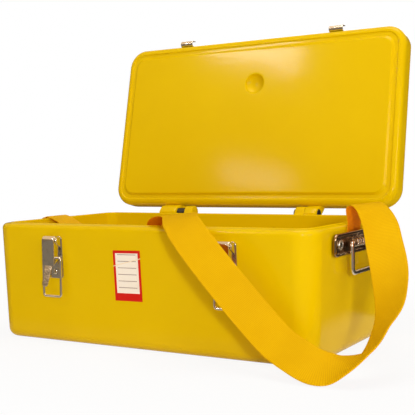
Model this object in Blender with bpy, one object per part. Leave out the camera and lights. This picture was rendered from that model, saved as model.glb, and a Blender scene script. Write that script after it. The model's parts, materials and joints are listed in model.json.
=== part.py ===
"""Moulded tool box with a hinged lid, two toggle latches, two sprung end handles and a webbing strap.

Metres, Z up, X along the box, front towards -Y, origin in the middle of the base.
The lid is modelled shut and then turned open, which is how the part stands at rest.
"""

import math

import bmesh
import bpy
import numpy as np
from mathutils import Matrix, Vector

for old in list(bpy.data.objects):
    bpy.data.objects.remove(old)

# Driving sizes of the tub and the lid
LENGTH = 0.580
WIDTH = 0.318
HEIGHT = 0.190
DRAFT = 0.007
CORNER = 0.035
BASE_EDGE = 0.015
WALL = 0.005
FLOOR = 0.006
RIM_EDGE = 0.005
RIM_WIDTH = 0.018
RIM_DEPTH = 0.010
TONGUE_WIDTH = 0.004
TONGUE_HIGH = 0.0020
LID_THICK = 0.048
LID_WALL = 0.004
LID_TOP_EDGE = 0.015
LID_LOW_EDGE = 0.010
PANEL_RISE = 0.002
PLUG_HIGH = 0.004
GROOVE_DEEP = 0.0032
DIMPLE = 0.020
DIMPLE_X = 0.0055
DIMPLE_IN = 0.089
DIMPLE_DEEP = 0.009
VENT = 0.003
OPEN_DEG = 102.4

# Clearances
SEAM = 0.0005
GAP = 0.0003
TURN = 0.0003

# Hinges
HINGE_OUT = 0.0145
HINGE_UP = 0.001
KNUCKLE = 0.012
HINGE_PIN = 0.0077
LUG_DROP = 0.045
HINGES = {
    "left": {"lid": (-0.1710, -0.1350), "tub": (-0.1161, -0.0995), "pin": (-0.1730, -0.0985)},
    "right": {"lid": (0.1311, 0.1535), "tub": (0.1125, 0.1307), "pin": (0.1085, 0.1545)},
}

# Toggle latches and lid hooks
LATCH_X = 0.158
SHEET = 0.0016
LEVER_WIDE = 0.024
LEVER_DROP = 0.024
LEVER_OUT = 0.0095
LEVER_CURL = 0.0062
LEVER_LONG = 0.0395
TAB_WIDE = 0.016
TAB_LONG = 0.0325
TAB_BEND = 0.0060
BAIL_DROP = 0.052
BAIL_OUT = 0.0070
BAIL_WIDE = 0.035
BAIL_WIRE = 0.0020
BAIL_BEND = 0.0038
BAR_RISE = 0.009
LATCH_PIN = 0.0020
PLATE_WIDE = 0.031
PLATE_TOP = 0.018
PLATE_LOW = 0.0855
PLATE_THICK = 0.0020
HOOK_WIDE = 0.027
HOOK_CURL = 0.0052
RIVET = 0.0020

# End handles
HANDLE_LONG = 0.196
HANDLE_HIGH = 0.033
HANDLE_DROP = 0.0265
HANDLE_BEAD = 0.0028
HANDLE_AXIS = 0.0116
HANDLE_WIRE = 0.0030
HANDLE_REACH = 0.043
HANDLE_LEG = 0.047
EAR_IN = 0.0375
EAR_THICK = 0.0050
SPRING_COIL = 0.0046
SPRING_WIRE = 0.0010
SPRING_PITCH = 0.0104
SCREW_IN = 0.023
SCREW_HEAD = 0.0065
SCREW_SHANK = 0.0020

# Strap
STRAP_WIDE = 0.052
STRAP_THICK = 0.0023
STRAP_STEP = 0.015
STRAP_TURN = 0.22
STRAP_CUT = 0.0002

LID_LOW = HEIGHT + SEAM
LID_TOP = LID_LOW + LID_THICK
AXIS_Y = WIDTH / 2 + HINGE_OUT
AXIS_Z = HEIGHT + HINGE_UP


def material(name, colour, rough, metal=0.0):
    made = bpy.data.materials.new(name)
    made.use_nodes = True
    shader = made.node_tree.nodes["Principled BSDF"]
    shader.inputs["Base Color"].default_value = (*colour, 1.0)
    shader.inputs["Roughness"].default_value = rough
    shader.inputs["Metallic"].default_value = metal
    made.diffuse_color = (*colour, 1.0)
    return made


YELLOW = material("yellow_plastic", (0.73, 0.48, 0.0), 0.35)
STEEL = material("bright_steel", (0.72, 0.72, 0.70), 0.22, 1.0)
NYLON = material("black_nylon", (0.02, 0.02, 0.02), 0.5)
WEBBING = material("orange_webbing", (0.83, 0.42, 0.0), 0.8)


def solid(name, points, faces, finish, origin=(0.0, 0.0, 0.0)):
    """One closed mesh object, with its faces turned outwards and its origin where it turns."""
    origin = np.array(origin, float)
    mesh = bpy.data.meshes.new(name)
    mesh.from_pydata([tuple(p) for p in np.asarray(points, float) - origin], [], faces)
    work = bmesh.new()
    work.from_mesh(mesh)
    bmesh.ops.recalc_face_normals(work, faces=work.faces)
    work.to_mesh(mesh)
    work.free()
    mesh.materials.append(finish)
    made = bpy.data.objects.new(name, mesh)
    made.location = origin
    bpy.context.scene.collection.objects.link(made)
    return made


def loft(name, rings, finish, origin=(0.0, 0.0, 0.0), closed=False, folded=False):
    """A skin over rings of equal length, capped at both ends unless the rings close on themselves.
    A folded ring goes out along one face of a sheet and back along the other, and its caps are rungs."""
    count = len(rings[0])
    faces = []
    last = len(rings) if closed else len(rings) - 1
    for k in range(last):
        low = k * count
        high = ((k + 1) % len(rings)) * count
        for i in range(count):
            j = (i + 1) % count
            faces.append((low + i, low + j, high + j, high + i))
    ends = (0, (len(rings) - 1) * count)
    if folded:
        rungs = [(i, i + 1, count - 2 - i, count - 1 - i) for i in range(count // 2 - 1)]
        faces += [tuple(e + i for i in rung) for e in ends for rung in rungs]
    elif not closed:
        faces += [tuple(range(e, e + count)) for e in ends]
    return solid(name, np.concatenate(rings), faces, finish, origin)


def prism(name, outline, place, low, high, finish, origin=(0.0, 0.0, 0.0)):
    """A flat outline drawn out from low to high. place(a, b, c) gives the world point."""
    rings = [np.array([place(a, b, c) for a, b in outline]) for c in (low, high)]
    return loft(name, rings, finish, origin)


def tube(name, path, radius, finish, origin=(0.0, 0.0, 0.0), sides=8, closed=False):
    """A round wire along a path, with frames carried along so that it doesn't twist."""
    path = np.asarray(path, float)
    if closed:
        ahead = np.roll(path, -1, axis=0) - np.roll(path, 1, axis=0)
    else:
        ahead = np.gradient(path, axis=0)
    ahead = ahead / np.linalg.norm(ahead, axis=1)[:, None]
    start = np.eye(3)[np.argmin(np.abs(ahead[0]))]
    side = np.cross(ahead[0], start)
    side = side / np.linalg.norm(side)
    rings = []
    for here, along in zip(path, ahead):
        side = side - along * (side @ along)
        side = side / np.linalg.norm(side)
        other = np.cross(along, side)
        turn = np.linspace(0, 2 * np.pi, sides, endpoint=False)
        rings.append(here + radius * (np.outer(np.cos(turn), side) + np.outer(np.sin(turn), other)))
    return loft(name, rings, finish, origin, closed)


def lathe(name, profile, base, axis, finish, sides=16):
    """A profile of (radius, height) pairs turned about an axis from base. Both ends are flat."""
    axis = Vector(axis).normalized()
    turn_to = axis.to_track_quat("Z", "Y").to_matrix()
    turn = np.linspace(0, 2 * np.pi, sides, endpoint=False)
    rings = []
    for radius, height in profile:
        flat = np.stack([radius * np.cos(turn), radius * np.sin(turn), np.full(sides, height)], axis=1)
        rings.append(flat @ np.array(turn_to).T + np.array(base))
    return loft(name, rings, finish)


def combine(body, other, operation):
    """Joins other to body, or cuts it away, and keeps only body."""
    step = body.modifiers.new("step", "BOOLEAN")
    step.operation = operation
    step.solver = "EXACT"
    step.object = other
    bpy.context.view_layer.update()
    shaped = bpy.data.meshes.new_from_object(body.evaluated_get(bpy.context.evaluated_depsgraph_get()))
    body.modifiers.clear()
    body.data = shaped
    bpy.data.objects.remove(other)
    return body


def join(body, *others):
    for other in others:
        combine(body, other, "UNION")
    return body


def cut(body, *others):
    for other in others:
        combine(body, other, "DIFFERENCE")
    return body


def drill(body, base, axis, radius, low, high, sides=16):
    """Cuts a round hole about an axis, from low to high along it."""
    return cut(body, lathe("drill", [(radius, low), (radius, high)], base, axis, STEEL, sides))


def circle(centre, radius, count=20):
    turn = np.linspace(0, 2 * np.pi, count, endpoint=False)
    return [(centre[0] + radius * math.cos(t), centre[1] + radius * math.sin(t)) for t in turn]


def arc(centre, radius, start, end, count):
    turn = np.radians(np.linspace(start, end, count))
    return [(centre[0] + radius * math.cos(t), centre[1] + radius * math.sin(t)) for t in turn]


def hull(points):
    """The outline around flat points."""
    points = sorted(set((round(a, 7), round(b, 7)) for a, b in points))

    def half(some):
        line = []
        for p in some:
            while len(line) > 1:
                (ax, ay), (bx, by) = line[-2], line[-1]
                if (bx - ax) * (p[1] - ay) - (by - ay) * (p[0] - ax) > 0:
                    break
                line.pop()
            line.append(p)
        return line[:-1]

    return half(points) + half(points[::-1])


def strip(line, thick):
    """The outline of a sheet of one thickness that follows a line in section."""
    line = np.asarray(line, float)
    ahead = np.gradient(line, axis=0)
    ahead = ahead / np.linalg.norm(ahead, axis=1)[:, None]
    across = np.stack([-ahead[:, 1], ahead[:, 0]], axis=1) * thick / 2
    return [tuple(p) for p in np.concatenate([line + across, (line - across)[::-1]])]


def rounded(half_x, half_y, radius, steps=7):
    """A rectangle with round corners, as flat points."""
    points = []
    for sx, sy, start in ((1, 1, 0), (-1, 1, 90), (-1, -1, 180), (1, -1, 270)):
        centre = (sx * (half_x - radius), sy * (half_y - radius))
        points += arc(centre, radius, start, start + 90, steps + 1)
    return points


def lean(z):
    """How far the tub wall stands back from the rim at this height."""
    return DRAFT * (1 - z / HEIGHT)


def ring(inset, z, back=0.0):
    """A level ring around the box, so far inside its rim outline."""
    inset = inset + back
    outline = rounded(LENGTH / 2 - inset, WIDTH / 2 - inset, max(CORNER - inset, 0.004))
    return np.array([(x, y, z) for x, y in outline])


def quarter(inset, z, radius, start, end, steps=5):
    """Inset and height pairs around an edge of this radius. Angle 0 points out and 90 up."""
    return [(inset - a, z + b) for a, b in arc((0, 0), radius, start, end, steps)]


# Tub: one skin from the middle of the base, up the outside, over the rim and down the inside
tongue = (RIM_WIDTH - 0.0005 - TONGUE_WIDTH, RIM_WIDTH - 0.0005)
section = quarter(BASE_EDGE, BASE_EDGE, BASE_EDGE, -90, 0)
section += quarter(RIM_EDGE, HEIGHT - RIM_EDGE, RIM_EDGE, 0, 90)
section += [(tongue[0] - 0.0005, HEIGHT), (tongue[0], HEIGHT + TONGUE_HIGH)]
section += [(tongue[1], HEIGHT + TONGUE_HIGH), (RIM_WIDTH, HEIGHT), (RIM_WIDTH, HEIGHT - RIM_DEPTH)]
section += [(WALL, HEIGHT - RIM_DEPTH - RIM_WIDTH + WALL)]
section += quarter(WALL + 2 * FLOOR, 3 * FLOOR, 2 * FLOOR, 0, -90)
box_body = loft("box_body", [ring(inset, z, max(lean(z), 0)) for inset, z in section], YELLOW)


def rear(y, z, x):
    return (x, y, z)


for side, spans in HINGES.items():
    strip_at = WIDTH / 2 - 0.0035
    outline = hull(circle((AXIS_Y, AXIS_Z), KNUCKLE)
                   + [(strip_at, HEIGHT - 0.007), (strip_at, HEIGHT - LUG_DROP)])
    join(box_body, prism("lug", outline, rear, *spans["tub"], YELLOW))
    low, high = spans["tub"]
    drill(box_body, (0, AXIS_Y, AXIS_Z), (1, 0, 0), HINGE_PIN + TURN, low - 0.002, high + 0.002)
    low, high = spans["pin"]
    profile = [(HINGE_PIN - 0.0006, low), (HINGE_PIN, low + 0.0006)]
    profile += [(HINGE_PIN, high - 0.0006), (HINGE_PIN - 0.0006, high)]
    lathe("hinge_pin_" + side, profile, (0, AXIS_Y, AXIS_Z), (1, 0, 0), NYLON)

# Lid: an outer skin with bullnose, groove and plug, less a hollow that follows it inside
groove = (RIM_WIDTH - 0.006, RIM_WIDTH + 0.0015)
plug = groove[1] + 0.001
section = quarter(plug + PLUG_HIGH, LID_LOW, PLUG_HIGH, -90, 0)
section += [(groove[1], LID_LOW + GROOVE_DEEP), (groove[0], LID_LOW + GROOVE_DEEP)]
section += [(groove[0] - 0.0005, LID_LOW)]
section += quarter(LID_LOW_EDGE, LID_LOW + LID_LOW_EDGE, LID_LOW_EDGE, -90, 0)
section += quarter(LID_TOP_EDGE, LID_TOP - PANEL_RISE - LID_TOP_EDGE, LID_TOP_EDGE, 0, 90)
section += [(0.040, LID_TOP - PANEL_RISE), (0.045, LID_TOP)]
lid = loft("lid", [ring(inset, z) for inset, z in section], YELLOW, (0, AXIS_Y, AXIS_Z))
hollow_low = LID_LOW - PLUG_HIGH + LID_WALL
hollow_in = plug + LID_WALL
section = [(hollow_in + 0.003, hollow_low), (hollow_in, hollow_low + 0.003), (hollow_in, LID_LOW + 0.0085)]
section += [(LID_WALL + 0.004, LID_LOW + LID_LOW_EDGE), (LID_WALL, LID_LOW + LID_LOW_EDGE + 0.004)]
section += quarter(LID_TOP_EDGE, LID_TOP - PANEL_RISE - LID_TOP_EDGE, LID_TOP_EDGE - LID_WALL, 0, 90)
hollow = loft("hollow", [ring(inset, z) for inset, z in section], YELLOW)
dimple_y = -WIDTH / 2 + DIMPLE_IN
plug_face = LID_LOW - PLUG_HIGH
dish = [(DIMPLE + 0.001, -0.002), (DIMPLE, 0)]
dish += [(0.75 * DIMPLE, 0.55 * DIMPLE_DEEP), (0.35 * DIMPLE, DIMPLE_DEEP)]
pad = [(r + LID_WALL, h + LID_WALL) for r, h in dish]
pad = [(pad[0][0], -0.004)] + pad
cut(hollow, lathe("pad", pad, (DIMPLE_X, dimple_y, plug_face), (0, 0, 1), YELLOW, 32))
for side, spans in HINGES.items():
    # The knuckle: a barrel, an arm to the lid's rear wall, and a heel that stops against the tub
    opened = math.radians(OPEN_DEG)
    heel = HINGE_OUT - GAP
    shape = circle((0, 0), KNUCKLE)
    shape += [(-heel, -0.012), (-heel, 0.0018)]
    reach = HINGE_OUT + 0.0022
    shut = [(y * math.cos(opened) - z * math.sin(opened), y * math.sin(opened) + z * math.cos(opened))
            for y, z in shape]
    shut += [(-reach, LID_LOW_EDGE + 0.0005), (-reach, LID_LOW_EDGE + 0.018)]
    outline = [(AXIS_Y + y, AXIS_Z + z) for y, z in hull(shut)]
    join(lid, prism("knuckle", outline, rear, *spans["lid"], YELLOW))
cut(lid, lathe("dimple", dish, (DIMPLE_X, dimple_y, plug_face), (0, 0, 1), YELLOW, 32))
cut(lid, hollow)
for side, spans in HINGES.items():
    low, high = spans["lid"]
    drill(lid, (0, AXIS_Y, AXIS_Z), (1, 0, 0), HINGE_PIN + TURN, low - 0.002, high + 0.002)
drill(lid, (0, WIDTH / 2, LID_LOW + 0.6 * LID_THICK), (0, 1, 0), VENT, -2 * LID_WALL, LID_WALL)

# Hooks on the lid's front edge: a riveted strip that ends in an upward J
LID_NODES = [lid]
hook_mid = GAP + SHEET / 2
curl_at = (hook_mid + HOOK_CURL, HEIGHT + BAR_RISE + 0.002)
line = [(hook_mid, curl_at[1] + 0.026), (hook_mid, curl_at[1] + 0.013)]
line += arc(curl_at, HOOK_CURL, 180, 360, 13)
lip = curl_at[0] + HOOK_CURL
line += [(lip + 0.0002, curl_at[1] + 0.003), (lip + 0.0012, curl_at[1] + 0.006)]
for side, sign in (("left", -1), ("right", 1)):

    def front(w, z, u, sign=sign):
        return (sign * LATCH_X + u, -WIDTH / 2 - w, z)

    hook = prism("lid_hook_" + side, strip(line, SHEET), front, -HOOK_WIDE / 2, HOOK_WIDE / 2, STEEL)
    LID_NODES.append(hook)
    for place, u in (("inner", -sign * 0.007), ("outer", sign * 0.007)):
        base = front(0, curl_at[1] + 0.019, u)
        drill(hook, base, (0, -1, 0), RIVET + TURN, -0.001, 0.004)
        drill(lid, base, (0, -1, 0), RIVET + TURN, -2 * LID_WALL, 0.001)
        top = GAP + SHEET + GAP
        profile = [(RIVET, -LID_WALL - 0.001), (RIVET, top), (0.0038, top)]
        profile += [(0.0036, top + 0.0009), (0.0022, top + 0.0017)]
        LID_NODES.append(lathe("hook_rivet_%s_%s" % (side, place), profile, base, (0, -1, 0), STEEL, 14))

# The lid and what is on it turn open about the hinge axis
swing = Matrix.Translation((0, AXIS_Y, AXIS_Z)) @ Matrix.Rotation(-math.radians(OPEN_DEG), 4, "X")
swing = swing @ Matrix.Translation((0, -AXIS_Y, -AXIS_Z))
for node in LID_NODES:
    node.data.transform(swing @ node.matrix_basis)
    node.data.transform(Matrix.Translation((0, -AXIS_Y, -AXIS_Z)))
    node.matrix_basis = Matrix.Translation((0, AXIS_Y, AXIS_Z))

# Toggle latches. Sections are drawn as (distance out from the rim, height).
pivot = (LEVER_OUT, HEIGHT - LEVER_DROP)
bail_at = (BAIL_OUT, HEIGHT - BAIL_DROP)
web_at = pivot[0] + LEVER_CURL
lever_low = pivot[1] - LEVER_LONG
fall = math.atan2(DRAFT, HEIGHT)
half_lever = LEVER_WIDE / 2
cheek = half_lever + GAP + SHEET
for side, sign in (("left", -1), ("right", 1)):

    def front(w, z, u, sign=sign):
        return (sign * LATCH_X + u, -WIDTH / 2 - w, z)

    out = (0, -math.cos(fall), -math.sin(fall))
    low, high = HEIGHT - PLATE_LOW, HEIGHT - PLATE_TOP
    outline = [(u, z + (low + high) / 2) for u, z in rounded(PLATE_WIDE / 2, (high - low) / 2, 0.005, 4)]
    rings = [np.array([front(-lean(z) + GAP + t, z, u) for u, z in outline]) for t in (0, PLATE_THICK)]
    base = loft("latch_base_" + side, rings, STEEL)
    back = -lean(pivot[1]) + GAP + 0.001
    shape = hull(circle(pivot, 0.0045) + [(back, pivot[1] - 0.012), (back, pivot[1] + 0.0055)])
    for u in (-cheek, cheek - SHEET):
        join(base, prism("cheek", shape, front, u, u + SHEET, STEEL))
    drill(base, front(*pivot, 0), (1, 0, 0), LATCH_PIN + TURN, -LEVER_WIDE, LEVER_WIDE)
    for place, z in (("upper", HEIGHT - 0.043), ("lower", HEIGHT - 0.075)):
        at = front(-lean(z), z, 0)
        drill(base, at, out, RIVET + TURN, -0.001, 0.005)
        drill(box_body, at, out, RIVET + TURN, -2 * WALL, 0.001)
        top = GAP + PLATE_THICK + GAP
        tail = -WALL - GAP - 0.0001
        profile = [(0.0028, tail - 0.0012), (0.0036, tail - 0.0006), (0.0036, tail), (RIVET, tail)]
        profile += [(RIVET, top), (0.0042, top), (0.0040, top + 0.001), (0.0024, top + 0.0019)]
        lathe("latch_rivet_%s_%s" % (side, place), profile, at, out, STEEL, 14)

    span = cheek + GAP
    profile = [(0.0024, -span - 0.0008), (0.0030, -span), (LATCH_PIN, -span)]
    profile += [(r, -h) for r, h in profile[::-1]]
    lathe("latch_pin_" + side, profile, front(*pivot, 0), (1, 0, 0), STEEL, 14)

    hinge = front(*pivot, 0)
    foot = (-lean(bail_at[1]) + PLATE_THICK + 2.5 * GAP, bail_at[1])
    shape = [(web_at, pivot[1]), (web_at, lever_low + 0.001), foot]
    shape = hull(shape + circle(pivot, LEVER_CURL) + circle(bail_at, 0.0037))
    line = [(web_at, lever_low), (web_at, (lever_low + pivot[1]) / 2)] + arc(pivot, LEVER_CURL, 0, 150, 10)
    lever = prism("latch_lever_" + side, strip(line, SHEET), front, -half_lever, half_lever, STEEL, hinge)
    for u in (-half_lever, half_lever - SHEET):
        join(lever, prism("flange", shape, front, u, u + SHEET, STEEL))
    bend = [(web_at, lever_low + 0.006), (web_at, lever_low - 0.002)]
    bend += [(web_at + TAB_BEND * t * t, lever_low - 0.002 - (TAB_LONG - 0.002) * t)
             for t in (0.2, 0.4, 0.6, 0.8, 1.0)]
    join(lever, prism("tab", strip(bend, SHEET), front, -TAB_WIDE / 2, TAB_WIDE / 2, STEEL))
    drill(lever, front(*pivot, 0), (1, 0, 0), LATCH_PIN + TURN, -LEVER_WIDE, LEVER_WIDE)
    drill(lever, front(*bail_at, 0), (1, 0, 0), BAIL_WIRE + TURN, -LEVER_WIDE, LEVER_WIDE)

    drop = BAIL_DROP + BAR_RISE
    half = BAIL_WIDE / 2
    turn = -half + BAIL_BEND
    flat = [(-half_lever + 2 * SHEET, 0), (turn, 0)] + arc((turn, -BAIL_BEND), BAIL_BEND, 110, 180, 5)
    flat += [(-half, -drop / 2)] + arc((turn, -drop + BAIL_BEND), BAIL_BEND, 180, 270, 6)
    flat += [(-a, b) for a, b in flat[::-1]]
    path = [front(bail_at[0], bail_at[1] + b, a) for a, b in flat]
    tube("latch_bail_" + side, path, BAIL_WIRE, STEEL, front(*bail_at, 0))

# End handles. The plate stands off the wall by the strap that it clamps.
stand = STRAP_THICK + 2 * GAP
mid = HEIGHT - HANDLE_DROP
for side, sign in (("left", -1), ("right", 1)):

    def end(w, z, v, sign=sign):
        return (sign * (LENGTH / 2 - lean(z) + w), v, z)

    out = (sign * math.cos(fall), 0, -math.sin(fall))
    edge = (HANDLE_LONG / 2 - HANDLE_BEAD, HANDLE_HIGH / 2 - HANDLE_BEAD)
    outline = [(v, mid + z) for v, z in rounded(*edge, 0.004, 4)]
    rings = [np.array([end(stand + t, z, v) for v, z in outline]) for t in (0, 0.0018)]
    plate = loft("handle_plate_" + side, rings, STEEL)
    loop = [end(stand + HANDLE_BEAD, z, v) for v, z in outline]
    join(plate, tube("bead", loop, HANDLE_BEAD, STEEL, closed=True))
    axis_at = (HANDLE_AXIS, mid)
    shape = hull(circle(axis_at, 0.0052) + [(stand + 0.001, mid - 0.007), (stand + 0.001, mid + 0.007)])
    for v in (-EAR_IN - EAR_THICK, EAR_IN):
        join(plate, prism("ear", shape, end, v, v + EAR_THICK, STEEL))
    pin_at = end(HANDLE_AXIS, mid, 0)
    drill(plate, pin_at, (0, 1, 0), HANDLE_WIRE + TURN, -HANDLE_LONG / 2, HANDLE_LONG / 2)
    screw_at = HANDLE_LONG / 2 - SCREW_IN
    for place, v in (("front", -screw_at), ("rear", screw_at)):
        at = end(0, mid, v)
        join(plate, lathe("boss", [(0.0058, GAP), (0.0058, stand + 0.001)], at, out, STEEL))
        drill(plate, at, out, SCREW_SHANK + TURN, -0.001, 0.009)
        drill(box_body, at, out, SCREW_SHANK + TURN, -0.8 * WALL, 0.001)
        top = stand + 0.0018 + GAP
        profile = [(SCREW_SHANK, -0.7 * WALL), (SCREW_SHANK, top), (SCREW_HEAD, top)]
        profile += [(SCREW_HEAD, top + 0.0012), (0.86 * SCREW_HEAD, top + 0.0024)]
        profile += [(0.5 * SCREW_HEAD, top + 0.0031)]
        screw = lathe("handle_screw_%s_%s" % (side, place), profile, at, out, STEEL)
        for wide, high in ((0.0080, 0.0016), (0.0016, 0.0080)):
            cross = [(a * wide / 2, b * high / 2) for a, b in ((1, 1), (-1, 1), (-1, -1), (1, -1))]

            def slot(a, b, c, at=at, out=out):
                up = Vector((0, 1, 0)).cross(Vector(out))
                return tuple(Vector(at) + Vector((0, a, 0)) + up * b + Vector(out) * c)

            cut(screw, prism("slot", cross, slot, top + 0.0014, top + 0.006, STEEL))

    bend = HANDLE_LEG - EAR_IN - EAR_THICK
    flat = [(-EAR_IN + 0.006, 0), (-HANDLE_LEG + bend, 0)]
    flat += arc((-HANDLE_LEG + bend, -bend), bend, 112, 180, 4)
    flat += [(-HANDLE_LEG, -HANDLE_REACH / 2)]
    flat += arc((-HANDLE_LEG + 0.007, -HANDLE_REACH + 0.007), 0.007, 180, 270, 6)
    flat += [(-a, b) for a, b in flat[::-1]]
    tube("handle_bail_" + side, [(pin_at[0], a, mid + b) for a, b in flat], HANDLE_WIRE, STEEL, pin_at)

    reach = EAR_IN - SPRING_WIRE - 0.0004
    turns = 2 * reach / SPRING_PITCH
    where = np.linspace(0, 1, int(turns * 10) + 1)
    turn = where * turns * 2 * np.pi - math.pi / 2
    coil = np.stack([pin_at[0] + sign * SPRING_COIL * np.cos(turn), -reach + 2 * reach * where,
                     mid + SPRING_COIL * np.sin(turn)], axis=1)
    tube("handle_spring_" + side, coil, SPRING_WIRE, STEEL, pin_at, 6)
    if sign > 0:
        apart = np.linalg.norm(coil[:, None] - coil[None], axis=2)
        far = np.abs(np.subtract.outer(np.arange(len(coil)), np.arange(len(coil)))) > 7
        least = apart[far].min() - 2 * SPRING_WIRE
        print("spring: least gap between its own turns %.2f mm" % (1000 * least))

# Strap: one ribbon through stations, each a point and the direction of its width.
# Stations are shares of half the length, half the width and the height, so the strap follows the box.
lay = GAP + STRAP_THICK / 2
flat_z = HEIGHT + TONGUE_HIGH + GAP + STRAP_THICK / 2
left_x = -LENGTH / 2
strap_y = -0.0155
across = (0, 1, 0)
stations = [((left_x + lean(z) - lay, strap_y, z), across)
            for z in (HEIGHT - 0.040, HEIGHT - 0.025, HEIGHT - 0.012)]
over = RIM_EDGE + lay + 0.0003
stations += [((left_x + RIM_EDGE + a, strap_y, HEIGHT - RIM_EDGE + b), across)
             for a, b in arc((0, 0), over, 180, 95, 4)]
stations += [((left_x + RIM_WIDTH - 0.003, strap_y, flat_z + 0.0006), across)]
FREE = [
    ((-0.862, -0.100, 0.968), (0, 1, 0)),
    ((-0.724, -0.119, 0.832), (0.05, 1, 0)),
    ((-0.517, -0.214, 0.668), (0.2, 1, 0)),
    ((-0.310, -0.340, 0.632), (0.35, 0.93, 0)),
    ((-0.138, -0.470, 0.735), (0.37, 0.93, -0.04)),
    ((0.005, -0.590, 0.897), (0.47, 0.88, -0.01)),
    ((0.108, -0.780, 1.049), (0.60, 0.80, 0.01)),
    ((0.258, -0.955, 1.094), (0.75, 0.65, 0.08)),
    ((0.343, -1.170, 1.056), (0.75, 0.58, 0.31)),
    ((0.451, -1.286, 0.925), (0.64, 0.55, 0.54)),
    ((0.635, -1.327, 0.641), (0.64, 0.48, 0.60)),
    ((0.775, -1.247, 0.374), (0.61, 0.48, 0.63)),
    ((0.882, -1.270, 0.239), (0.51, 0.60, 0.62)),
    ((0.998, -1.321, 0.160), (0.40, 0.64, 0.66)),
    ((1.075, -1.333, 0.115), (0.14, 0.69, 0.71)),
    ((1.133, -1.316, 0.108), (-0.28, 0.70, 0.65)),
    ((1.206, -1.263, 0.139), (-0.55, 0.82, 0.18)),
    ((1.278, -1.167, 0.201), (-0.58, 0.77, -0.26)),
    ((1.297, -1.107, 0.240), (-0.66, 0.60, -0.42)),
    ((1.310, -0.978, 0.326), (-0.71, 0.53, -0.45)),
    ((1.324, -0.829, 0.446), (-0.85, 0.32, -0.41)),
    ((1.308, -0.691, 0.550), (-0.90, 0.10, -0.40)),
    ((1.265, -0.500, 0.700), (-0.92, -0.22, -0.26)),
    ((1.210, -0.345, 0.891), (-0.86, -0.49, -0.10)),
    ((1.181, -0.279, 0.999), (-0.78, -0.61, -0.14)),
    ((1.133, -0.219, 1.109), (-0.59, -0.80, -0.10)),
    ((1.086, -0.169, 1.151), (-0.48, -0.88, -0.06)),
    ((1.042, -0.130, 1.129), (-0.36, -0.93, 0.00)),
]
stations += [((x * LENGTH / 2, y * WIDTH / 2, z * HEIGHT), d) for (x, y, z), d in FREE]
stations += [((-left_x + 0.0045, -0.0175, HEIGHT + 0.010), (-0.05, -1, 0))]
stations += [((-left_x + 0.0024, -0.0165, HEIGHT - 0.002), (0, -1, 0))]
stations += [((-left_x - lean(z) + lay, -0.0165, z), (0, -1, 0))
             for z in (HEIGHT - 0.012, HEIGHT - 0.025, HEIGHT - 0.040)]


def smooth(knots, values, at):
    """A curve through values at knots, with slopes from the neighbours and no overshoot of chord length."""
    slope = np.zeros_like(values)
    slope[1:-1] = (values[2:] - values[:-2]) / (knots[2:] - knots[:-2])[:, None]
    slope[0] = (values[1] - values[0]) / (knots[1] - knots[0])
    slope[-1] = (values[-1] - values[-2]) / (knots[-1] - knots[-2])
    k = np.clip(np.searchsorted(knots, at, side="right") - 1, 0, len(knots) - 2)
    h = (knots[k + 1] - knots[k])[:, None]
    t = ((at - knots[k]) / h[:, 0])[:, None]
    return ((2 * t ** 3 - 3 * t ** 2 + 1) * values[k] + (t ** 3 - 2 * t ** 2 + t) * h * slope[k]
            + (3 * t ** 2 - 2 * t ** 3) * values[k + 1] + (t ** 3 - t ** 2) * h * slope[k + 1])


points = np.array([p for p, d in stations], float)
widths = np.array([d for p, d in stations], float)
widths = widths / np.linalg.norm(widths, axis=1)[:, None]
knots = np.concatenate([[0], np.cumsum(np.linalg.norm(np.diff(points, axis=0), axis=1))])


def ribbon(at):
    """Middle line, width direction and face direction of the strap at these lengths."""
    middle = smooth(knots, points, at)
    ahead = smooth(knots, points, np.minimum(at + 0.0005, knots[-1]))
    ahead = ahead - smooth(knots, points, np.maximum(at - 0.0005, 0))
    ahead = ahead / np.linalg.norm(ahead, axis=1)[:, None]
    wide = smooth(knots, widths, at)
    wide = wide - ahead * np.sum(wide * ahead, axis=1)[:, None]
    wide = wide / np.linalg.norm(wide, axis=1)[:, None]
    return middle, wide, np.cross(ahead, wide)


fine = np.linspace(0, knots[-1], 3000)
middle, wide, face = ribbon(fine)
print("strap: length %.3f m" % np.sum(np.linalg.norm(np.diff(middle, axis=0), axis=1)))


def crossing(share, after, before, rising):
    """Length at which the line at this share of the width passes the rim height."""
    z = (middle + wide * share * STRAP_WIDE / 2)[:, 2] - HEIGHT
    inside = (fine > after) & (fine < before)
    turn = np.where(inside[:-1] & ((z[:-1] < 0) == rising) & ((z[1:] < 0) != rising))[0]
    return fine[turn[0] if rising else turn[-1]]


top_left = knots[7]
crest = knots[15]
lowest = knots[23]
waist = knots[26]
LANES = np.array([-1.0, -0.5, 0.0, 0.5, 1.0])
lift = np.array([crossing(s, 0, top_left, True) for s in LANES])
fall_at = np.array([crossing(s, crest, lowest, False) for s in LANES])


def shares(start, end):
    """Where the rings go between two lengths: closer together where the strap turns sharply."""
    along = np.linspace(0, 1, 400)
    face = ribbon(start + (end - start) * along)[2]
    turn = np.arccos(np.clip(np.sum(face[1:] * face[:-1], axis=1), -1, 1))
    amount = (end - start) / 399 / STRAP_STEP + turn / STRAP_TURN
    amount = np.concatenate([[0], np.cumsum(amount)])
    count = max(6, math.ceil(amount[-1]))
    return np.interp(np.linspace(0, amount[-1], count + 1), amount, along)


def stretch(name, start, end):
    """A closed solid of the strap between two lengths, which may differ across its width."""
    rings = []
    for t in shares(float(np.mean(start)), float(np.mean(end))):
        row = start + (end - start) * t
        middle, wide, face = ribbon(row)
        edge = middle + wide * (LANES * STRAP_WIDE / 2)[:, None]
        thick = face * STRAP_THICK / 2
        rings.append(np.concatenate([edge + thick, (edge - thick)[::-1]]))
    return loft(name, rings, WEBBING, folded=True)


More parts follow.
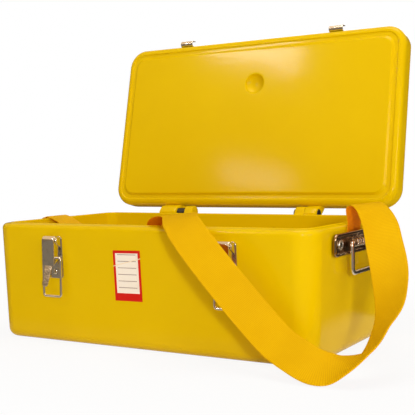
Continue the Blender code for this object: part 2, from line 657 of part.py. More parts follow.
cuts = [np.zeros(5), lift, fall_at, np.full(5, waist), np.full(5, knots[-1])]
lengths = ("strap_left", "strap_across", "strap_front", "strap_right")
for name, start, end in zip(lengths, cuts[:-1], cuts[1:]):
    start = start + (STRAP_CUT if name != "strap_left" else 0)
    end = end - (STRAP_CUT if name != "strap_right" else 0)
    stretch(name, start, end)

for node in bpy.context.scene.objects:
    print(node.name, len(node.data.polygons), "faces")
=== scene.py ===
# %% [markdown]
# # A moulded tool box with its lid open
#
# The object is a yellow plastic box for tools: a deep tub, a hollow lid that leans back on the heels of
# its hinges, two toggle latches, two sprung end handles and a loose webbing strap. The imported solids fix
# where everything is and how it moves. This script lays a finer surface over each solid, works out every
# shape as a whole numpy array, and gives each one a finish that holds up close to the camera.

# %% Load the frame
import json
import math

import bmesh
import bpy
import numpy as np
from mathutils import Matrix, Vector


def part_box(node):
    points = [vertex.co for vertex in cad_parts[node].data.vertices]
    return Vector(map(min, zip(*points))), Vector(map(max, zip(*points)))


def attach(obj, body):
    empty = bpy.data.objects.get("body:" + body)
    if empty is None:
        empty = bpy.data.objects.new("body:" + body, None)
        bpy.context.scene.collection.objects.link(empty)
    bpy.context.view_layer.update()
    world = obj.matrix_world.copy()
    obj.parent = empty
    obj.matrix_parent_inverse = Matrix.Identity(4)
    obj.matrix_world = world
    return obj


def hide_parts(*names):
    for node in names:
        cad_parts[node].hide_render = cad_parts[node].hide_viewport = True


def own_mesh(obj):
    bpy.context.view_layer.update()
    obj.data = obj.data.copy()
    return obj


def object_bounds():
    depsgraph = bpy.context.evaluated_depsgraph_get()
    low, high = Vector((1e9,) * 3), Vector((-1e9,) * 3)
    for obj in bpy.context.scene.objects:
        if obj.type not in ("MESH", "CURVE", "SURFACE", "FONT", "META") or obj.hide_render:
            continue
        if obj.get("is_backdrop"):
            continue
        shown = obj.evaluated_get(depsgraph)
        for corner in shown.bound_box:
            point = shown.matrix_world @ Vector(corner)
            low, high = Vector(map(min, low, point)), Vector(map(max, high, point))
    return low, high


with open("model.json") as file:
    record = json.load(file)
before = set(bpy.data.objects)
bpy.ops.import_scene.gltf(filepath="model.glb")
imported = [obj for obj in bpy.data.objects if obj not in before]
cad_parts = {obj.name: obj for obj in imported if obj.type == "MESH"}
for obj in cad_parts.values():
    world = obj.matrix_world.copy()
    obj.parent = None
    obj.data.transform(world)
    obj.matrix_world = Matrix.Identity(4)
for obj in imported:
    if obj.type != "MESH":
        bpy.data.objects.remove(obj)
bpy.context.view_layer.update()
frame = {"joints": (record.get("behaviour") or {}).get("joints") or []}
joints = {joint["name"]: joint for joint in frame["joints"]}

# %% [markdown]
# ## The camera
#
# The photograph looks at the box from a little above its rim and from the right. The camera's place was
# worked out from the straight edges of the box, so the focal length is in pixels of a square picture, and
# the level line of the lens lies a few pixels above the middle, which becomes a small lens shift.

# %% Camera
PHOTO = 415
FOCAL = 864.4
AXIS_ROW = 202.1
CAMERA_AT = np.array([0.7589, -1.2105, 0.2805])
YAW, DIP, ROLL = np.radians([30.96, 2.49, -1.22])


def camera_axes():
    """Right, up and forward of the camera: a heading, then a dip below level, then a roll about the view."""
    forward = np.array([-math.sin(YAW) * math.cos(DIP), math.cos(YAW) * math.cos(DIP), -math.sin(DIP)])
    level = np.array([math.cos(YAW), math.sin(YAW), 0.0])
    above = np.cross(level, forward)
    right = math.cos(ROLL) * level + math.sin(ROLL) * above
    return right, np.cross(right, forward), forward


right, up, forward = camera_axes()
camera = bpy.data.objects.new("camera", bpy.data.cameras.new("camera"))
camera.data.sensor_width = 36.0
camera.data.lens = FOCAL / PHOTO * camera.data.sensor_width
camera.data.shift_y = (AXIS_ROW - PHOTO / 2) / PHOTO
camera.data.clip_start = 0.05
camera.data.clip_end = 50.0
camera.matrix_world = Matrix((
    (right[0], up[0], -forward[0], CAMERA_AT[0]),
    (right[1], up[1], -forward[1], CAMERA_AT[1]),
    (right[2], up[2], -forward[2], CAMERA_AT[2]),
    (0.0, 0.0, 0.0, 1.0),
))
bpy.context.scene.collection.objects.link(camera)
bpy.context.scene.camera = camera
print("camera: %.1f mm lens, shift %.4f" % (camera.data.lens, camera.data.shift_y))

# %% [markdown]
# ## Building blocks
#
# Nearly everything here is one of five surfaces: rings stacked into a shell, a profile turned about an
# axis, a round wire along a line, a flat band along a line, or an outline drawn out into a plate. Each one
# is a function of two parameters, evaluated on a whole grid at once. The grid then becomes a mesh whose
# seams and poles are merged, so every shell is closed.

# %% From a grid to a shell


def grid_faces(rows, columns, wrap_rows=False, wrap_columns=True):
    """The four corner numbers of each face between neighbours in a grid. Where the grid wraps, its ends
    are joined."""
    row = np.arange(rows if wrap_rows else rows - 1)
    column = np.arange(columns if wrap_columns else columns - 1)
    row, column = np.meshgrid(row, column, indexing="ij")
    next_row = (row + 1) % rows
    next_column = (column + 1) % columns
    corners = [row * columns + column, row * columns + next_column,
               next_row * columns + next_column, next_row * columns + column]
    return np.stack(corners, axis=-1).reshape(-1, 4)


def shell(grid, wrap_rows=False, wrap_columns=True, capped=False):
    """Points and faces of a grid surface. A capped shell has its first and last rows filled."""
    rows, columns = grid.shape[:2]
    faces = [tuple(face) for face in grid_faces(rows, columns, wrap_rows, wrap_columns).tolist()]
    if capped:
        faces.append(tuple(range(columns)))
        faces.append(tuple(range((rows - 1) * columns, rows * columns)))
    return grid.reshape(-1, 3), faces


print("grid: a tube of 3 rings with 4 points each has %d faces" % len(grid_faces(3, 4)))

# %% From shells to a piece
MERGE = 1e-6


def piece(name, shells, finish, body, stands_for=(), slot=None, crease=40.0, uv=None):
    """One object made of closed shells, with merged seams, outward faces and smooth shading up to a
    crease."""
    points = np.concatenate([part[0] for part in shells])
    starts = np.cumsum([0] + [len(part[0]) for part in shells[:-1]])
    faces = [tuple(corner + int(start) for corner in face)
             for (_, part_faces), start in zip(shells, starts) for face in part_faces]
    mesh = bpy.data.meshes.new(name)
    mesh.from_pydata(points, [], faces)
    if uv is not None:
        layer = mesh.uv_layers.new(name="surface")
        corner = np.zeros(len(mesh.loops), np.int32)
        mesh.loops.foreach_get("vertex_index", corner)
        layer.data.foreach_set("uv", np.asarray(uv, np.float32)[corner].ravel())
    work = bmesh.new()
    work.from_mesh(mesh)
    bmesh.ops.remove_doubles(work, verts=work.verts, dist=MERGE)
    bmesh.ops.recalc_face_normals(work, faces=work.faces)
    work.to_mesh(mesh)
    work.free()
    mesh.shade_smooth()
    mesh.set_sharp_from_angle(angle=math.radians(crease))
    mesh.materials.append(finish)
    made = bpy.data.objects.new(name, mesh)
    bpy.context.scene.collection.objects.link(made)
    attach(made, body)
    if stands_for:
        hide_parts(*stands_for)
    return made


print("piece: points closer than %.0e m are merged" % MERGE)

# %% [markdown]
# ## Lines and rings
#
# Moulded and pressed parts have no sharp corners, so a section is written as its few corners and the radius
# of each one, and the arcs follow from that. Rings are rounded rectangles: a ring's points sit on four
# quarter circles whose centres slide along the straight runs in between.

# %% Sections


def unit(vectors):
    """Vectors of length one, along the last axis."""
    vectors = np.asarray(vectors, float)
    return vectors / np.linalg.norm(vectors, axis=-1, keepdims=True)


def lengths(line):
    """The length along a line up to each of its points."""
    return np.concatenate([[0], np.cumsum(np.linalg.norm(np.diff(line, axis=0), axis=1))])


def spots_at(line, length, at):
    """Points of a flat line at these lengths along it, straight between its own points."""
    return np.stack([np.interp(at, length, line[:, 0]), np.interp(at, length, line[:, 1])], axis=1)


def arc(centre, radius, start, end, count):
    """Points on a circle between two angles in degrees."""
    turn = np.radians(np.linspace(start, end, count))
    return np.asarray(centre, float) + radius * np.stack([np.cos(turn), np.sin(turn)], axis=1)


SAME_SPOT = 1e-9
STRAIGHT = math.pi / 2 - 0.01


def rounded_line(corners, longest=0.01, steps=8):
    """A flat line through (a, b, radius) corners: each corner is an arc that touches both of its sides,
    and straight stretches are split so that no step is longer than asked."""
    spots = np.array([corner[:2] for corner in corners], float)
    line = [spots[:1]]
    for k in range(1, len(spots) - 1):
        radius = corners[k][2]
        back = unit(spots[k - 1] - spots[k])
        ahead = unit(spots[k + 1] - spots[k])
        half = math.acos(np.clip(back @ ahead, -1, 1)) / 2
        if radius <= 0 or half > STRAIGHT:
            line.append(spots[k:k + 1])
            continue
        centre = spots[k] + unit(back + ahead) * radius / math.sin(half)
        start, end = [spots[k] + side * radius / math.tan(half) - centre for side in (back, ahead)]
        first = math.atan2(start[1], start[0])
        sweep = (math.atan2(end[1], end[0]) - first + math.pi) % (2 * math.pi) - math.pi
        line.append(arc(centre, radius, math.degrees(first), math.degrees(first + sweep), steps + 1))
    line.append(spots[-1:])
    line = np.concatenate(line)
    length = np.linalg.norm(np.diff(line, axis=0), axis=1)
    line = line[np.concatenate([[True], length > SAME_SPOT])]
    length = np.concatenate([[0], np.cumsum(length[length > SAME_SPOT])])
    shares = [np.linspace(a, b, max(1, math.ceil((b - a) / longest)), endpoint=False)
              for a, b in zip(length[:-1], length[1:])]
    return spots_at(line, length, np.concatenate(shares + [length[-1:]]))


quarter = rounded_line([(0, 0, 0), (0.02, 0, 0.01), (0.02, 0.02, 0)])
print("section: one rounded corner takes %d points" % len(quarter))

# %% Rings
CORNER_STEPS = 24
QUADRANTS = ((1, 1, 0), (-1, 1, 90), (-1, -1, 180), (1, -1, 270))


def ring_columns(run_long, run_short):
    """For each column of a ring: the signs that place its circle's centre, and its angle on that circle."""
    columns = []
    for k, (sx, sy, start) in enumerate(QUADRANTS):
        next_sx, next_sy = QUADRANTS[(k + 1) % 4][:2]
        turn = np.linspace(start, start + 90, CORNER_STEPS + 1)
        columns.append(np.stack([np.full_like(turn, sx), np.full_like(turn, sy), turn], axis=1))
        run = run_long if sx != next_sx else run_short
        share = np.linspace(0, 1, run + 2)[1:-1]
        columns.append(np.stack([sx + (next_sx - sx) * share, sy + (next_sy - sy) * share,
                                 np.full_like(share, start + 90)], axis=1))
    columns = np.concatenate(columns)
    return columns[:, 0], columns[:, 1], np.radians(columns[:, 2])


def rings(half_x, half_y, corner, inset, run_long=70, run_short=40, least=0.004):
    """Rounded rectangles, one for each inset. The corner radius shrinks with the inset, and a ring that
    reaches the middle closes onto a line, so a stack of rings can end in a filled face."""
    sx, sy, turn = ring_columns(run_long, run_short)
    inset = np.asarray(inset, float)[:, None]
    radius = np.clip(np.maximum(corner - inset, least), 0, min(half_x, half_y) - inset)
    x = sx * (half_x - inset - radius) + radius * np.cos(turn)
    y = sy * (half_y - inset - radius) + radius * np.sin(turn)
    return x, y


print("ring: %d points" % rings(1.0, 0.5, 0.1, [0.0])[0].shape[1])

# %% [markdown]
# ## Turned parts, wires, bands and plates
#
# Rivets, pins and screws are turned: a profile of radius and height goes round an axis. Handles, bails and
# springs are round wire, so a circle is carried along a line with one direction held to stop it twisting.
# Hooks, levers and the strap are bands: a flat rounded loop carried along a line. Flanges and ears are
# plates, whose rims are rolled over by a small radius, because that edge is what catches the light.

# %% Turned parts and wires
END_STEPS = 5


def turned(profile, base, axis, sides=32):
    """Radius and height pairs carried round an axis. The first and last radius are drawn in to the axis."""
    profile = np.asarray(profile, float)
    profile = np.concatenate([[[0.0, profile[0, 1]]], profile, [[0.0, profile[-1, 1]]]])
    along = unit(axis)
    side = unit(np.cross(along, np.eye(3)[np.argmin(np.abs(along))]))
    other = np.cross(along, side)
    turn = np.linspace(0, 2 * np.pi, sides, endpoint=False)
    round_it = np.cos(turn)[:, None] * side + np.sin(turn)[:, None] * other
    grid = profile[:, :1, None] * round_it + profile[:, 1:, None] * along
    return shell(grid + np.asarray(base, float))


def wire(path, hold, radius, sides=16):
    """A circle carried along a path. hold is a direction, or one for each point, that the circle keeps.
    Both ends are closed by half a ball."""
    path = np.asarray(path, float)
    hold = np.broadcast_to(np.asarray(hold, float), path.shape)
    ahead = unit(np.gradient(path, axis=0))
    turn = np.linspace(np.pi / 2, 0, END_STEPS, endpoint=False)
    rise, small = radius * np.sin(turn)[:, None], radius * np.cos(turn)
    path = np.concatenate([path[:1] - rise * ahead[:1], path, path[-1:] + rise[::-1] * ahead[-1:]])
    size = np.concatenate([small, np.full(len(ahead), radius), small[::-1]])
    ahead, hold = [np.concatenate([np.repeat(way[:1], END_STEPS, 0), way, np.repeat(way[-1:], END_STEPS, 0)])
                   for way in (ahead, hold)]
    other = unit(np.cross(ahead, hold))
    side = np.cross(other, ahead)
    turn = np.linspace(0, 2 * np.pi, sides, endpoint=False)[None, :, None]
    round_it = np.cos(turn) * side[:, None] + np.sin(turn) * other[:, None]
    return shell(path[:, None] + size[:, None, None] * round_it)


print("wire: ends closed in %d steps" % END_STEPS)

# %% Bands and plates
EDGE_STEPS = 3


def flat_loop(across, corner):
    """A closed loop around a flat band, as shares of its half width and half thickness. The two faces have
    this many steps, and each side is a half round that takes a small part of the width."""
    face = np.linspace(-1 + corner, 1 - corner, across + 1)
    turn = np.linspace(np.pi / 2, -np.pi / 2, EDGE_STEPS + 2)[1:-1]
    sides = [np.stack([face, np.ones_like(face)], axis=1)]
    sides.append(np.stack([1 - corner + corner * np.cos(turn), np.sin(turn)], axis=1))
    sides.append(np.stack([face[::-1], -np.ones_like(face)], axis=1))
    sides.append(np.stack([-1 + corner - corner * np.cos(turn), -np.sin(turn)], axis=1))
    return np.concatenate(sides)


def band(middle, wide, thick, loop):
    """A flat loop carried along a line. wide and thick are half width and half thickness as vectors."""
    middle, wide, thick = [np.asarray(value, float)[:, None] for value in (middle, wide, thick)]
    return shell(middle + wide * loop[None, :, :1] + thick * loop[None, :, 1:], capped=True)


def outline_round(*circles, points=(), count=64):
    """The outline around some circles (centre a, centre b, radius) and points, going anticlockwise:
    for each of many directions, the spot that lies furthest that way."""
    cloud = [arc(circle[:2], circle[2], 0, 360 - 360 / count, count) for circle in circles]
    cloud = np.concatenate(cloud + ([np.asarray(points, float)] if len(points) else []))
    turn = np.linspace(0, 2 * np.pi, 720, endpoint=False)
    furthest = np.argmax(cloud @ np.stack([np.cos(turn), np.sin(turn)]), axis=0)
    keep = np.concatenate([[True], furthest[1:] != furthest[:-1]])
    furthest = furthest[keep]
    return cloud[furthest if furthest[0] != furthest[-1] else furthest[:-1]]


def plate(outline, place, low, high, edge, steps=3):
    """An anticlockwise outline drawn out from low to high, with both rims rolled over by the edge radius.
    place(a, b, c) gives the world point."""
    outline = np.asarray(outline, float)
    ahead = unit(np.roll(outline, -1, axis=0) - np.roll(outline, 1, axis=0))
    inward = np.stack([-ahead[:, 1], ahead[:, 0]], axis=1)
    turn = np.linspace(np.pi / 2, 0, steps + 1)
    inset = edge * (1 - np.cos(turn))
    height = edge * (1 - np.sin(turn))
    inset = np.concatenate([inset, inset[::-1]])
    height = np.concatenate([low + height, (high - height)[::-1]])
    flat = outline[None] + inset[:, None, None] * inward[None]
    return shell(place(flat[..., 0], flat[..., 1], height[:, None] + 0 * flat[..., 0]), capped=True)


print("band: %d points round a loop with 10 steps a side" % len(flat_loop(10, 0.1)))

# %% [markdown]
# ## Shader nodes in a few words
#
# A finish is a small tree of nodes behind one Principled shader. Most trees here need the same few: noise,
# a range stretched to another one, a mix of two colours, a bump and some arithmetic. Each gets a helper that
# takes values or other nodes' outputs, so that a finish reads like a list of what one sees on the surface.

# %% Nodes and materials


def linear(red, green, blue):
    """A screen colour from 0 to 255 as the linear colour that the shader uses."""
    value = np.array([red, green, blue]) / 255
    return tuple(np.where(value <= 0.04045, value / 12.92, ((value + 0.055) / 1.055) ** 2.4)) + (1.0,)


def add(tree, kind, inputs=None, **settings):
    """A new node with its settings, and its inputs set to a value or linked to another node's output."""
    made = tree.nodes.new(kind)
    for name, value in settings.items():
        setattr(made, name, value)
    for name, value in (inputs or {}).items():
        socket = made.inputs[name]
        if isinstance(value, bpy.types.NodeSocket):
            tree.links.new(value, socket)
        else:
            socket.default_value = value
    return made


def blank(name, colour, rough, metal=0.0, specular=0.5):
    """A material with one Principled shader, and its tree and shader for more nodes."""
    made = bpy.data.materials.new(name)
    made.use_nodes = True
    shader = made.node_tree.nodes["Principled BSDF"]
    shader.inputs["Base Color"].default_value = colour
    shader.inputs["Roughness"].default_value = rough
    shader.inputs["Metallic"].default_value = metal
    shader.inputs["Specular IOR Level"].default_value = specular
    made.diffuse_color = colour
    return made, made.node_tree, shader


def feed(tree, shader, sources):
    """Links other nodes' outputs to the shader's inputs of these names."""
    for name, source in sources.items():
        tree.links.new(source, shader.inputs[name])


print("nodes: middle grey is %.3f in the shader" % linear(128, 128, 128)[0])

# %% Node helpers


def object_place(tree):
    """Where a point lies on its piece, in metres."""
    return add(tree, "ShaderNodeTexCoord").outputs["Object"]


def own_map(tree):
    """The two directions of the piece's own map."""
    mark = add(tree, "ShaderNodeUVMap", uv_map="surface").outputs["UV"]
    split = add(tree, "ShaderNodeSeparateXYZ", {"Vector": mark})
    return split.outputs["X"], split.outputs["Y"]


def noise(tree, where, scale, detail=2.0, rough=0.5):
    """Smooth noise whose patches are about one over scale metres across."""
    return add(tree, "ShaderNodeTexNoise",
               {"Vector": where, "Scale": scale, "Detail": detail, "Roughness": rough}).outputs["Fac"]


def reckon(tree, kind, *values):
    """One step of arithmetic of this kind on these values."""
    return add(tree, "ShaderNodeMath", dict(enumerate(values)), operation=kind).outputs[0]


def spread(tree, value, low, high, start=0.3, end=0.7):
    """A value stretched so that start to end becomes low to high, and held beyond them."""
    return add(tree, "ShaderNodeMapRange", {"Value": value, "From Min": start, "From Max": end,
                                            "To Min": low, "To Max": high}).outputs["Result"]


def mix_colour(tree, share, first, second):
    """A colour between two others."""
    return add(tree, "ShaderNodeMix", {0: share, 6: first, 7: second}, data_type="RGBA").outputs[2]


def bump(tree, height, distance, strength, before=None):
    """A bump of this depth in metres, on top of an earlier one."""
    inputs = {"Height": height, "Distance": distance, "Strength": strength}
    if before is not None:
        inputs["Normal"] = before
    return add(tree, "ShaderNodeBump", inputs).outputs["Normal"]


print("node helpers: places, noise, arithmetic, ranges, colours and bumps")

# %% [markdown]
# ## The moulded yellow plastic
#
# The real colour is a warm signal yellow all the way through the plastic. A good moulded surface is not
# perfectly even: the gloss varies where the mould was polished, there is a fine skin like orange peel, and
# the colour drifts a little where the wall is thicker. All three are noise on Object coordinates, in
# metres, so they stay on the box when it moves. Rubbing has dulled small spots, which raises the roughness.

# %% Yellow plastic


def moulded_plastic():
    """Signal yellow plastic: even colour with a slow drift, soft gloss with dull spots, and a fine skin."""
    made, tree, shader = blank("moulded_yellow", linear(225, 187, 1), 0.14, specular=0.11)
    where = object_place(tree)
    drift = spread(tree, noise(tree, where, 5.0, 3.0), 0, 1)
    waves = bump(tree, noise(tree, where, 22.0, 1.0), 0.0006, 0.08)
    feed(tree, shader, {
        "Base Color": mix_colour(tree, drift, linear(223, 185, 0), linear(227, 190, 2)),
        "Roughness": spread(tree, noise(tree, where, 60.0, 4.0, 0.6), 0.08, 0.13),
        "Normal": bump(tree, noise(tree, where, 520.0, 2.0), 0.00004, 0.25, waves),
    })
    return made


YELLOW = moulded_plastic()
print("finish: %s" % YELLOW.name)

# %% [markdown]
# ## Bright metal and black nylon
#
# Latches, handles and wires are plated steel. Plain grey metal looks dead, so the plate has faint rolling
# lines, small dull patches and the shallow waves of pressed sheet, which break up what it mirrors. The
# handle plates are a darker brown than the latches: painted reflection of the orange strap and the shade
# in front of them. Screw heads are dull zinc with painted shade in the cross, and the hinge pins are black
# nylon.

# %% Metal and nylon
DULL_SHARE = 0.72
ROLLED = (90.0, 90.0, 1400.0)
DRAWN = (500.0, 500.0, 500.0)


def bright_plate(name, colour, rough, brushed):
    """Plated steel: bright, with faint rolling lines along one axis, small dull patches, and the shallow
    waves of pressed sheet."""
    made, tree, shader = blank(name, colour, rough, metal=1.0)
    where = object_place(tree)
    stretched = add(tree, "ShaderNodeMapping", {"Vector": where, "Scale": brushed}).outputs["Vector"]
    lines = noise(tree, stretched, 1.0, 4.0, 0.7)
    patches = noise(tree, where, 140.0, 4.0, 0.65)
    both = reckon(tree, "ADD", lines, patches)
    dull = tuple(DULL_SHARE * channel for channel in colour[:3]) + (1.0,)
    waves = bump(tree, noise(tree, where, 110.0, 2.0), 0.0018, 0.35)
    feed(tree, shader, {
        "Base Color": mix_colour(tree, spread(tree, patches, 0, 0.7, 0.5, 0.75), colour, dull),
        "Roughness": spread(tree, both, rough - 0.05, rough + 0.10, 0.7, 1.3),
        "Normal": bump(tree, lines, 0.00003, 0.12, waves),
    })
    return made


def black_nylon():
    """Dull black plastic with a faint grain."""
    made, tree, shader = blank("black_nylon", linear(24, 23, 22), 0.5)
    grain = noise(tree, object_place(tree), 900.0, 3.0)
    feed(tree, shader, {
        "Base Color": mix_colour(tree, grain, linear(16, 15, 15), linear(36, 34, 33)),
        "Normal": bump(tree, grain, 0.00004, 0.6),
    })
    return made


def cross_head():
    """Zinc-plated screw head with painted shade in the cross, whose place comes from the piece's own map."""
    made, tree, shader = blank("cross_head", linear(214, 208, 196), 0.28, metal=1.0)
    cross_shade_mask, _ = own_map(tree)
    grain = noise(tree, object_place(tree), 600.0, 3.0)
    zinc = mix_colour(tree, grain, linear(190, 184, 172), linear(224, 219, 208))
    feed(tree, shader, {
        # painted shade: the recess of the cross is coloured near black
        "Base Color": mix_colour(tree, cross_shade_mask, zinc, linear(22, 18, 14)),
        "Roughness": spread(tree, grain, 0.22, 0.36),
    })
    return made


CHROME = bright_plate("bright_plate", linear(216, 209, 198), 0.12, ROLLED)
# painted reflection: the handle plate's darker brown stands in for the orange strap and the shade it mirrors
HANDLE_PLATE_PAINTED_REFLECTION = bright_plate("handle_plate", linear(160, 134, 106), 0.12, ROLLED)
WIRE = bright_plate("bright_wire", linear(232, 227, 218), 0.11, DRAWN)
NYLON = black_nylon()
CROSS = cross_head()
print("finishes: %s" % ", ".join(made.name for made in (CHROME, HANDLE_PLATE_PAINTED_REFLECTION, WIRE, NYLON, CROSS)))

# %% [markdown]
# ## The tub
#
# The tub is one moulding: a rounded base, walls that lean out by a few millimetres so that it leaves the
# mould, a thick rolled rim, and a low tongue on the rim that fits a groove in the lid. Cut it anywhere and
# the section is the same, so the whole tub is one line of corners and radii, carried round a rounded
# rectangle. The line starts in the middle of the base and ends in the middle of the floor inside.

# %% Tub sizes
tub_low, tub_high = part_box("box_body")
LENGTH = tub_high.x - tub_low.x
WIDTH = -2 * tub_low.y
HEIGHT = 0.190
DRAFT = 0.007
CORNER = 0.035
BASE_EDGE = 0.015
WALL = 0.005
FLOOR = 0.006
RIM_EDGE = 0.008
RIM_WIDTH = 0.018
RIM_DEPTH = 0.060
TONGUE_WIDTH = 0.004
TONGUE_HIGH = 0.0012


def lean(z):
    """How far the tub wall stands back from the rim at this height."""
    return DRAFT * (1 - np.asarray(z, float) / HEIGHT)


print("tub: %.0f by %.0f by %.0f mm" % (1000 * LENGTH, 1000 * WIDTH, 1000 * HEIGHT))

# %% Tub
MIDDLE = WIDTH / 2
tongue_out = RIM_WIDTH - 0.0005 - TONGUE_WIDTH
tub_line = rounded_line([
    (MIDDLE, 0.0, 0),
    (lean(0), 0.0, BASE_EDGE),
    (0.0, HEIGHT, RIM_EDGE),
    (tongue_out - 0.0012, HEIGHT, 0.0020),
    (tongue_out + 0.0005, HEIGHT + TONGUE_HIGH, 0.0010),
    (tongue_out + TONGUE_WIDTH - 0.0004, HEIGHT + TONGUE_HIGH, 0.0010),
    (RIM_WIDTH, HEIGHT - 0.0006, 0.0010),
    (RIM_WIDTH, HEIGHT - RIM_DEPTH, 0.003),
    (WALL + lean(HEIGHT - RIM_WIDTH), HEIGHT - RIM_DEPTH - RIM_WIDTH + WALL, 0.008),
    (WALL + lean(FLOOR), FLOOR, 2 * FLOOR),
    (MIDDLE, FLOOR, 0),
], longest=0.008)
x, y = rings(LENGTH / 2, WIDTH / 2, CORNER, tub_line[:, 0])
tub_grid = np.stack([x, y, np.broadcast_to(tub_line[:, 1:], x.shape)], axis=-1)
tub = piece("tub_shell", [shell(tub_grid)], YELLOW, "tub", ["box_body"], "yellow_plastic")
print("tub: %d rings of %d points, %d faces" % (*x.shape, len(tub.data.polygons)))

# %% [markdown]
# ## The lid
#
# The lid is hollow, with two skins: a smooth outer one and an inner one that carries a raised plug, which
# drops inside the tub's rim, and a groove for the tongue. A round dimple in the inner skin is pressed down
# until it meets the outer one, which keeps the two from drumming. The surface is again rings, but the rings
# on the inner face start as circles about the dimple and turn into the outline of the plug on the way out.
# The skin sinks a little around the dimple, as it does on the real one, and that bends the reflections.

# %% Lid sizes
hinge = joints["lid_hinge"]
AXIS_Y, AXIS_Z = hinge["pos_m"][1:]
OPEN = math.radians(-hinge["range_deg"][0])
SEAM = 0.0005
LID_LOW = HEIGHT + SEAM
LID_THICK = 0.048
LID_TOP = LID_LOW + LID_THICK
LID_LOW_EDGE = 0.010
LID_TOP_EDGE = 0.015
PANEL_RISE = 0.002
PLUG_HIGH = 0.0014
PLUG_CORNER = 0.020
GROOVE = (RIM_WIDTH - 0.006, RIM_WIDTH + 0.0015)
GROOVE_DEEP = 0.0019
PLUG = GROOVE[1] + 0.001
DIMPLE = 0.0188
DIMPLE_DEEP = 0.0105
DIMPLE_AT = np.array([0.0055, -WIDTH / 2 + 0.089])
PANEL_IN = (0.040, 0.045)


def opened(points):
    """Points of the shut lid, turned back about the hinge axis to where the open lid rests."""
    points = np.asarray(points, float)
    y, z = points[..., 1] - AXIS_Y, points[..., 2] - AXIS_Z
    back = AXIS_Y + y * math.cos(OPEN) + z * math.sin(OPEN)
    above = AXIS_Z - y * math.sin(OPEN) + z * math.cos(OPEN)
    return np.stack([points[..., 0], back, above], axis=-1)


print("lid: %.0f mm thick, open by %.1f degrees" % (1000 * LID_THICK, math.degrees(OPEN)))

# %% Lid
SINK = 0.0001
SINK_WIDE = 0.045
SINK_FADE = 0.03
LIP_HIGH = 0.0004
LIP_WIDE = 0.0012
FACE_IN = PLUG + 0.0058


def plug_face():
    """The inner face: circles about the dimple that turn into the plug's outline. Its depth is half an
    ellipse inside the dimple, a fine lip on its edge and a shallow bell-shaped sink around it."""
    x, y = rings(LENGTH / 2, WIDTH / 2, CORNER, [FACE_IN], least=PLUG_CORNER)
    rim = np.stack([x[0], y[0]], axis=1) - DIMPLE_AT
    reach = np.linalg.norm(rim, axis=1)
    near = [np.linspace(0, 0.8, 18), np.linspace(0.82, 1.12, 36), np.linspace(1.16, 2.6, 18)]
    near = np.concatenate(near) * DIMPLE
    far = np.linspace(0, 1, 26)[1:]
    steps = [np.broadcast_to(near[:, None], (len(near), len(reach)))]
    steps.append(near[-1] + far[:, None] * (reach - near[-1]))
    distance = np.concatenate(steps)
    spot = DIMPLE_AT + distance[..., None] * unit(rim)
    bowl = DIMPLE_DEEP * np.clip(1 - (distance / DIMPLE) ** 2, 0, None) ** 0.5
    lip = LIP_HIGH * np.exp(-((distance - DIMPLE) / LIP_WIDE) ** 2)
    fade = np.clip((reach - distance) / SINK_FADE, 0, 1)
    depth = bowl + (SINK * np.exp(-(distance / SINK_WIDE) ** 2) + lip * (distance > 0)) * fade
    return np.concatenate([spot, (LID_LOW - PLUG_HIGH + depth)[..., None]], axis=-1)


lid_line = rounded_line([
    (PLUG + 0.0070, LID_LOW - PLUG_HIGH, 0),
    (PLUG + 0.0020, LID_LOW - PLUG_HIGH, 0.0025),
    (GROOVE[1] - 0.0005, LID_LOW + GROOVE_DEEP, 0.0018),
    (GROOVE[0] + 0.0002, LID_LOW + GROOVE_DEEP, 0.0018),
    (GROOVE[0] - 0.0008, LID_LOW, 0.0012),
    (0.0, LID_LOW, LID_LOW_EDGE),
    (0.0, LID_TOP - PANEL_RISE, LID_TOP_EDGE),
    (PANEL_IN[0], LID_TOP - PANEL_RISE, 0.004),
    (PANEL_IN[1], LID_TOP, 0.004),
    (MIDDLE, LID_TOP, 0),
], longest=0.008)
x, y = rings(LENGTH / 2, WIDTH / 2, CORNER, lid_line[1:, 0], least=PLUG_CORNER)
lid_skin = np.stack([x, y, np.broadcast_to(lid_line[1:, 1:], x.shape)], axis=-1)
lid_grid = opened(np.concatenate([plug_face(), lid_skin]))
lid = piece("lid_shell", [shell(lid_grid)], YELLOW, "lid_leaf", ["lid"], "yellow_plastic")
print("lid: %d rings of %d points, %d faces" % (*lid_grid.shape[:2], len(lid.data.polygons)))

# %% [markdown]
# ## Hinges
#
# Each hinge is a lug on the tub, a knuckle on the lid and one thick black pin through both. A lug is a
# barrel that grows out of the wall behind it. Its outline goes round the barrel and the wall, and the
# surface is a ring with a real bore: out along the outline, down the end face, and back along the bore.

# %% Hinge sizes and barrels
KNUCKLE = 0.012
HINGE_PIN = 0.0077
HINGE_OUT = AXIS_Y - WIDTH / 2
LUG_DROP = 0.045
HINGES = {
    "left": {"lid": (-0.1710, -0.1350), "tub": (-0.1161, -0.0995), "pin": (-0.1730, -0.0985)},
    "right": {"lid": (0.1311, 0.1535), "tub": (0.1125, 0.1307), "pin": (0.1085, 0.1545)},
}
BORE = HINGE_PIN + 0.0003
BARREL_EDGE = 0.0012
KNUCKLE_EDGE = 0.0038
PIN_EDGE = 0.0009
CAP = HINGE_PIN + 0.0008
CAP_BACK, CAP_FRONT = 0.0016, 0.0003


def barrel(outline, low, high, far_edge=BARREL_EDGE):
    """A ring about the hinge axis: each direction runs along the outline, over a rolled rim, in along the
    end face to the bore and back through it. The outline is given from the axis."""
    reach = np.linalg.norm(outline, axis=1)
    outward = outline / reach[:, None]
    turn = np.linspace(0, np.pi / 2, 6)
    rim, along = 1 - np.cos(turn), 1 - np.sin(turn)
    drawn_in = np.concatenate([BARREL_EDGE * rim[::-1], far_edge * rim])
    place = np.concatenate([low + BARREL_EDGE * along[::-1], high - far_edge * along])
    radius = np.concatenate([reach[None] - drawn_in[:, None], np.full((2, len(reach)), BORE)])
    place = np.concatenate([place, [high, low]])
    flat = radius[..., None] * outward[None]
    x = np.broadcast_to(place[:, None], radius.shape)
    grid = np.stack([x, AXIS_Y + flat[..., 0], AXIS_Z + flat[..., 1]], axis=-1)
    return shell(grid, wrap_rows=True)


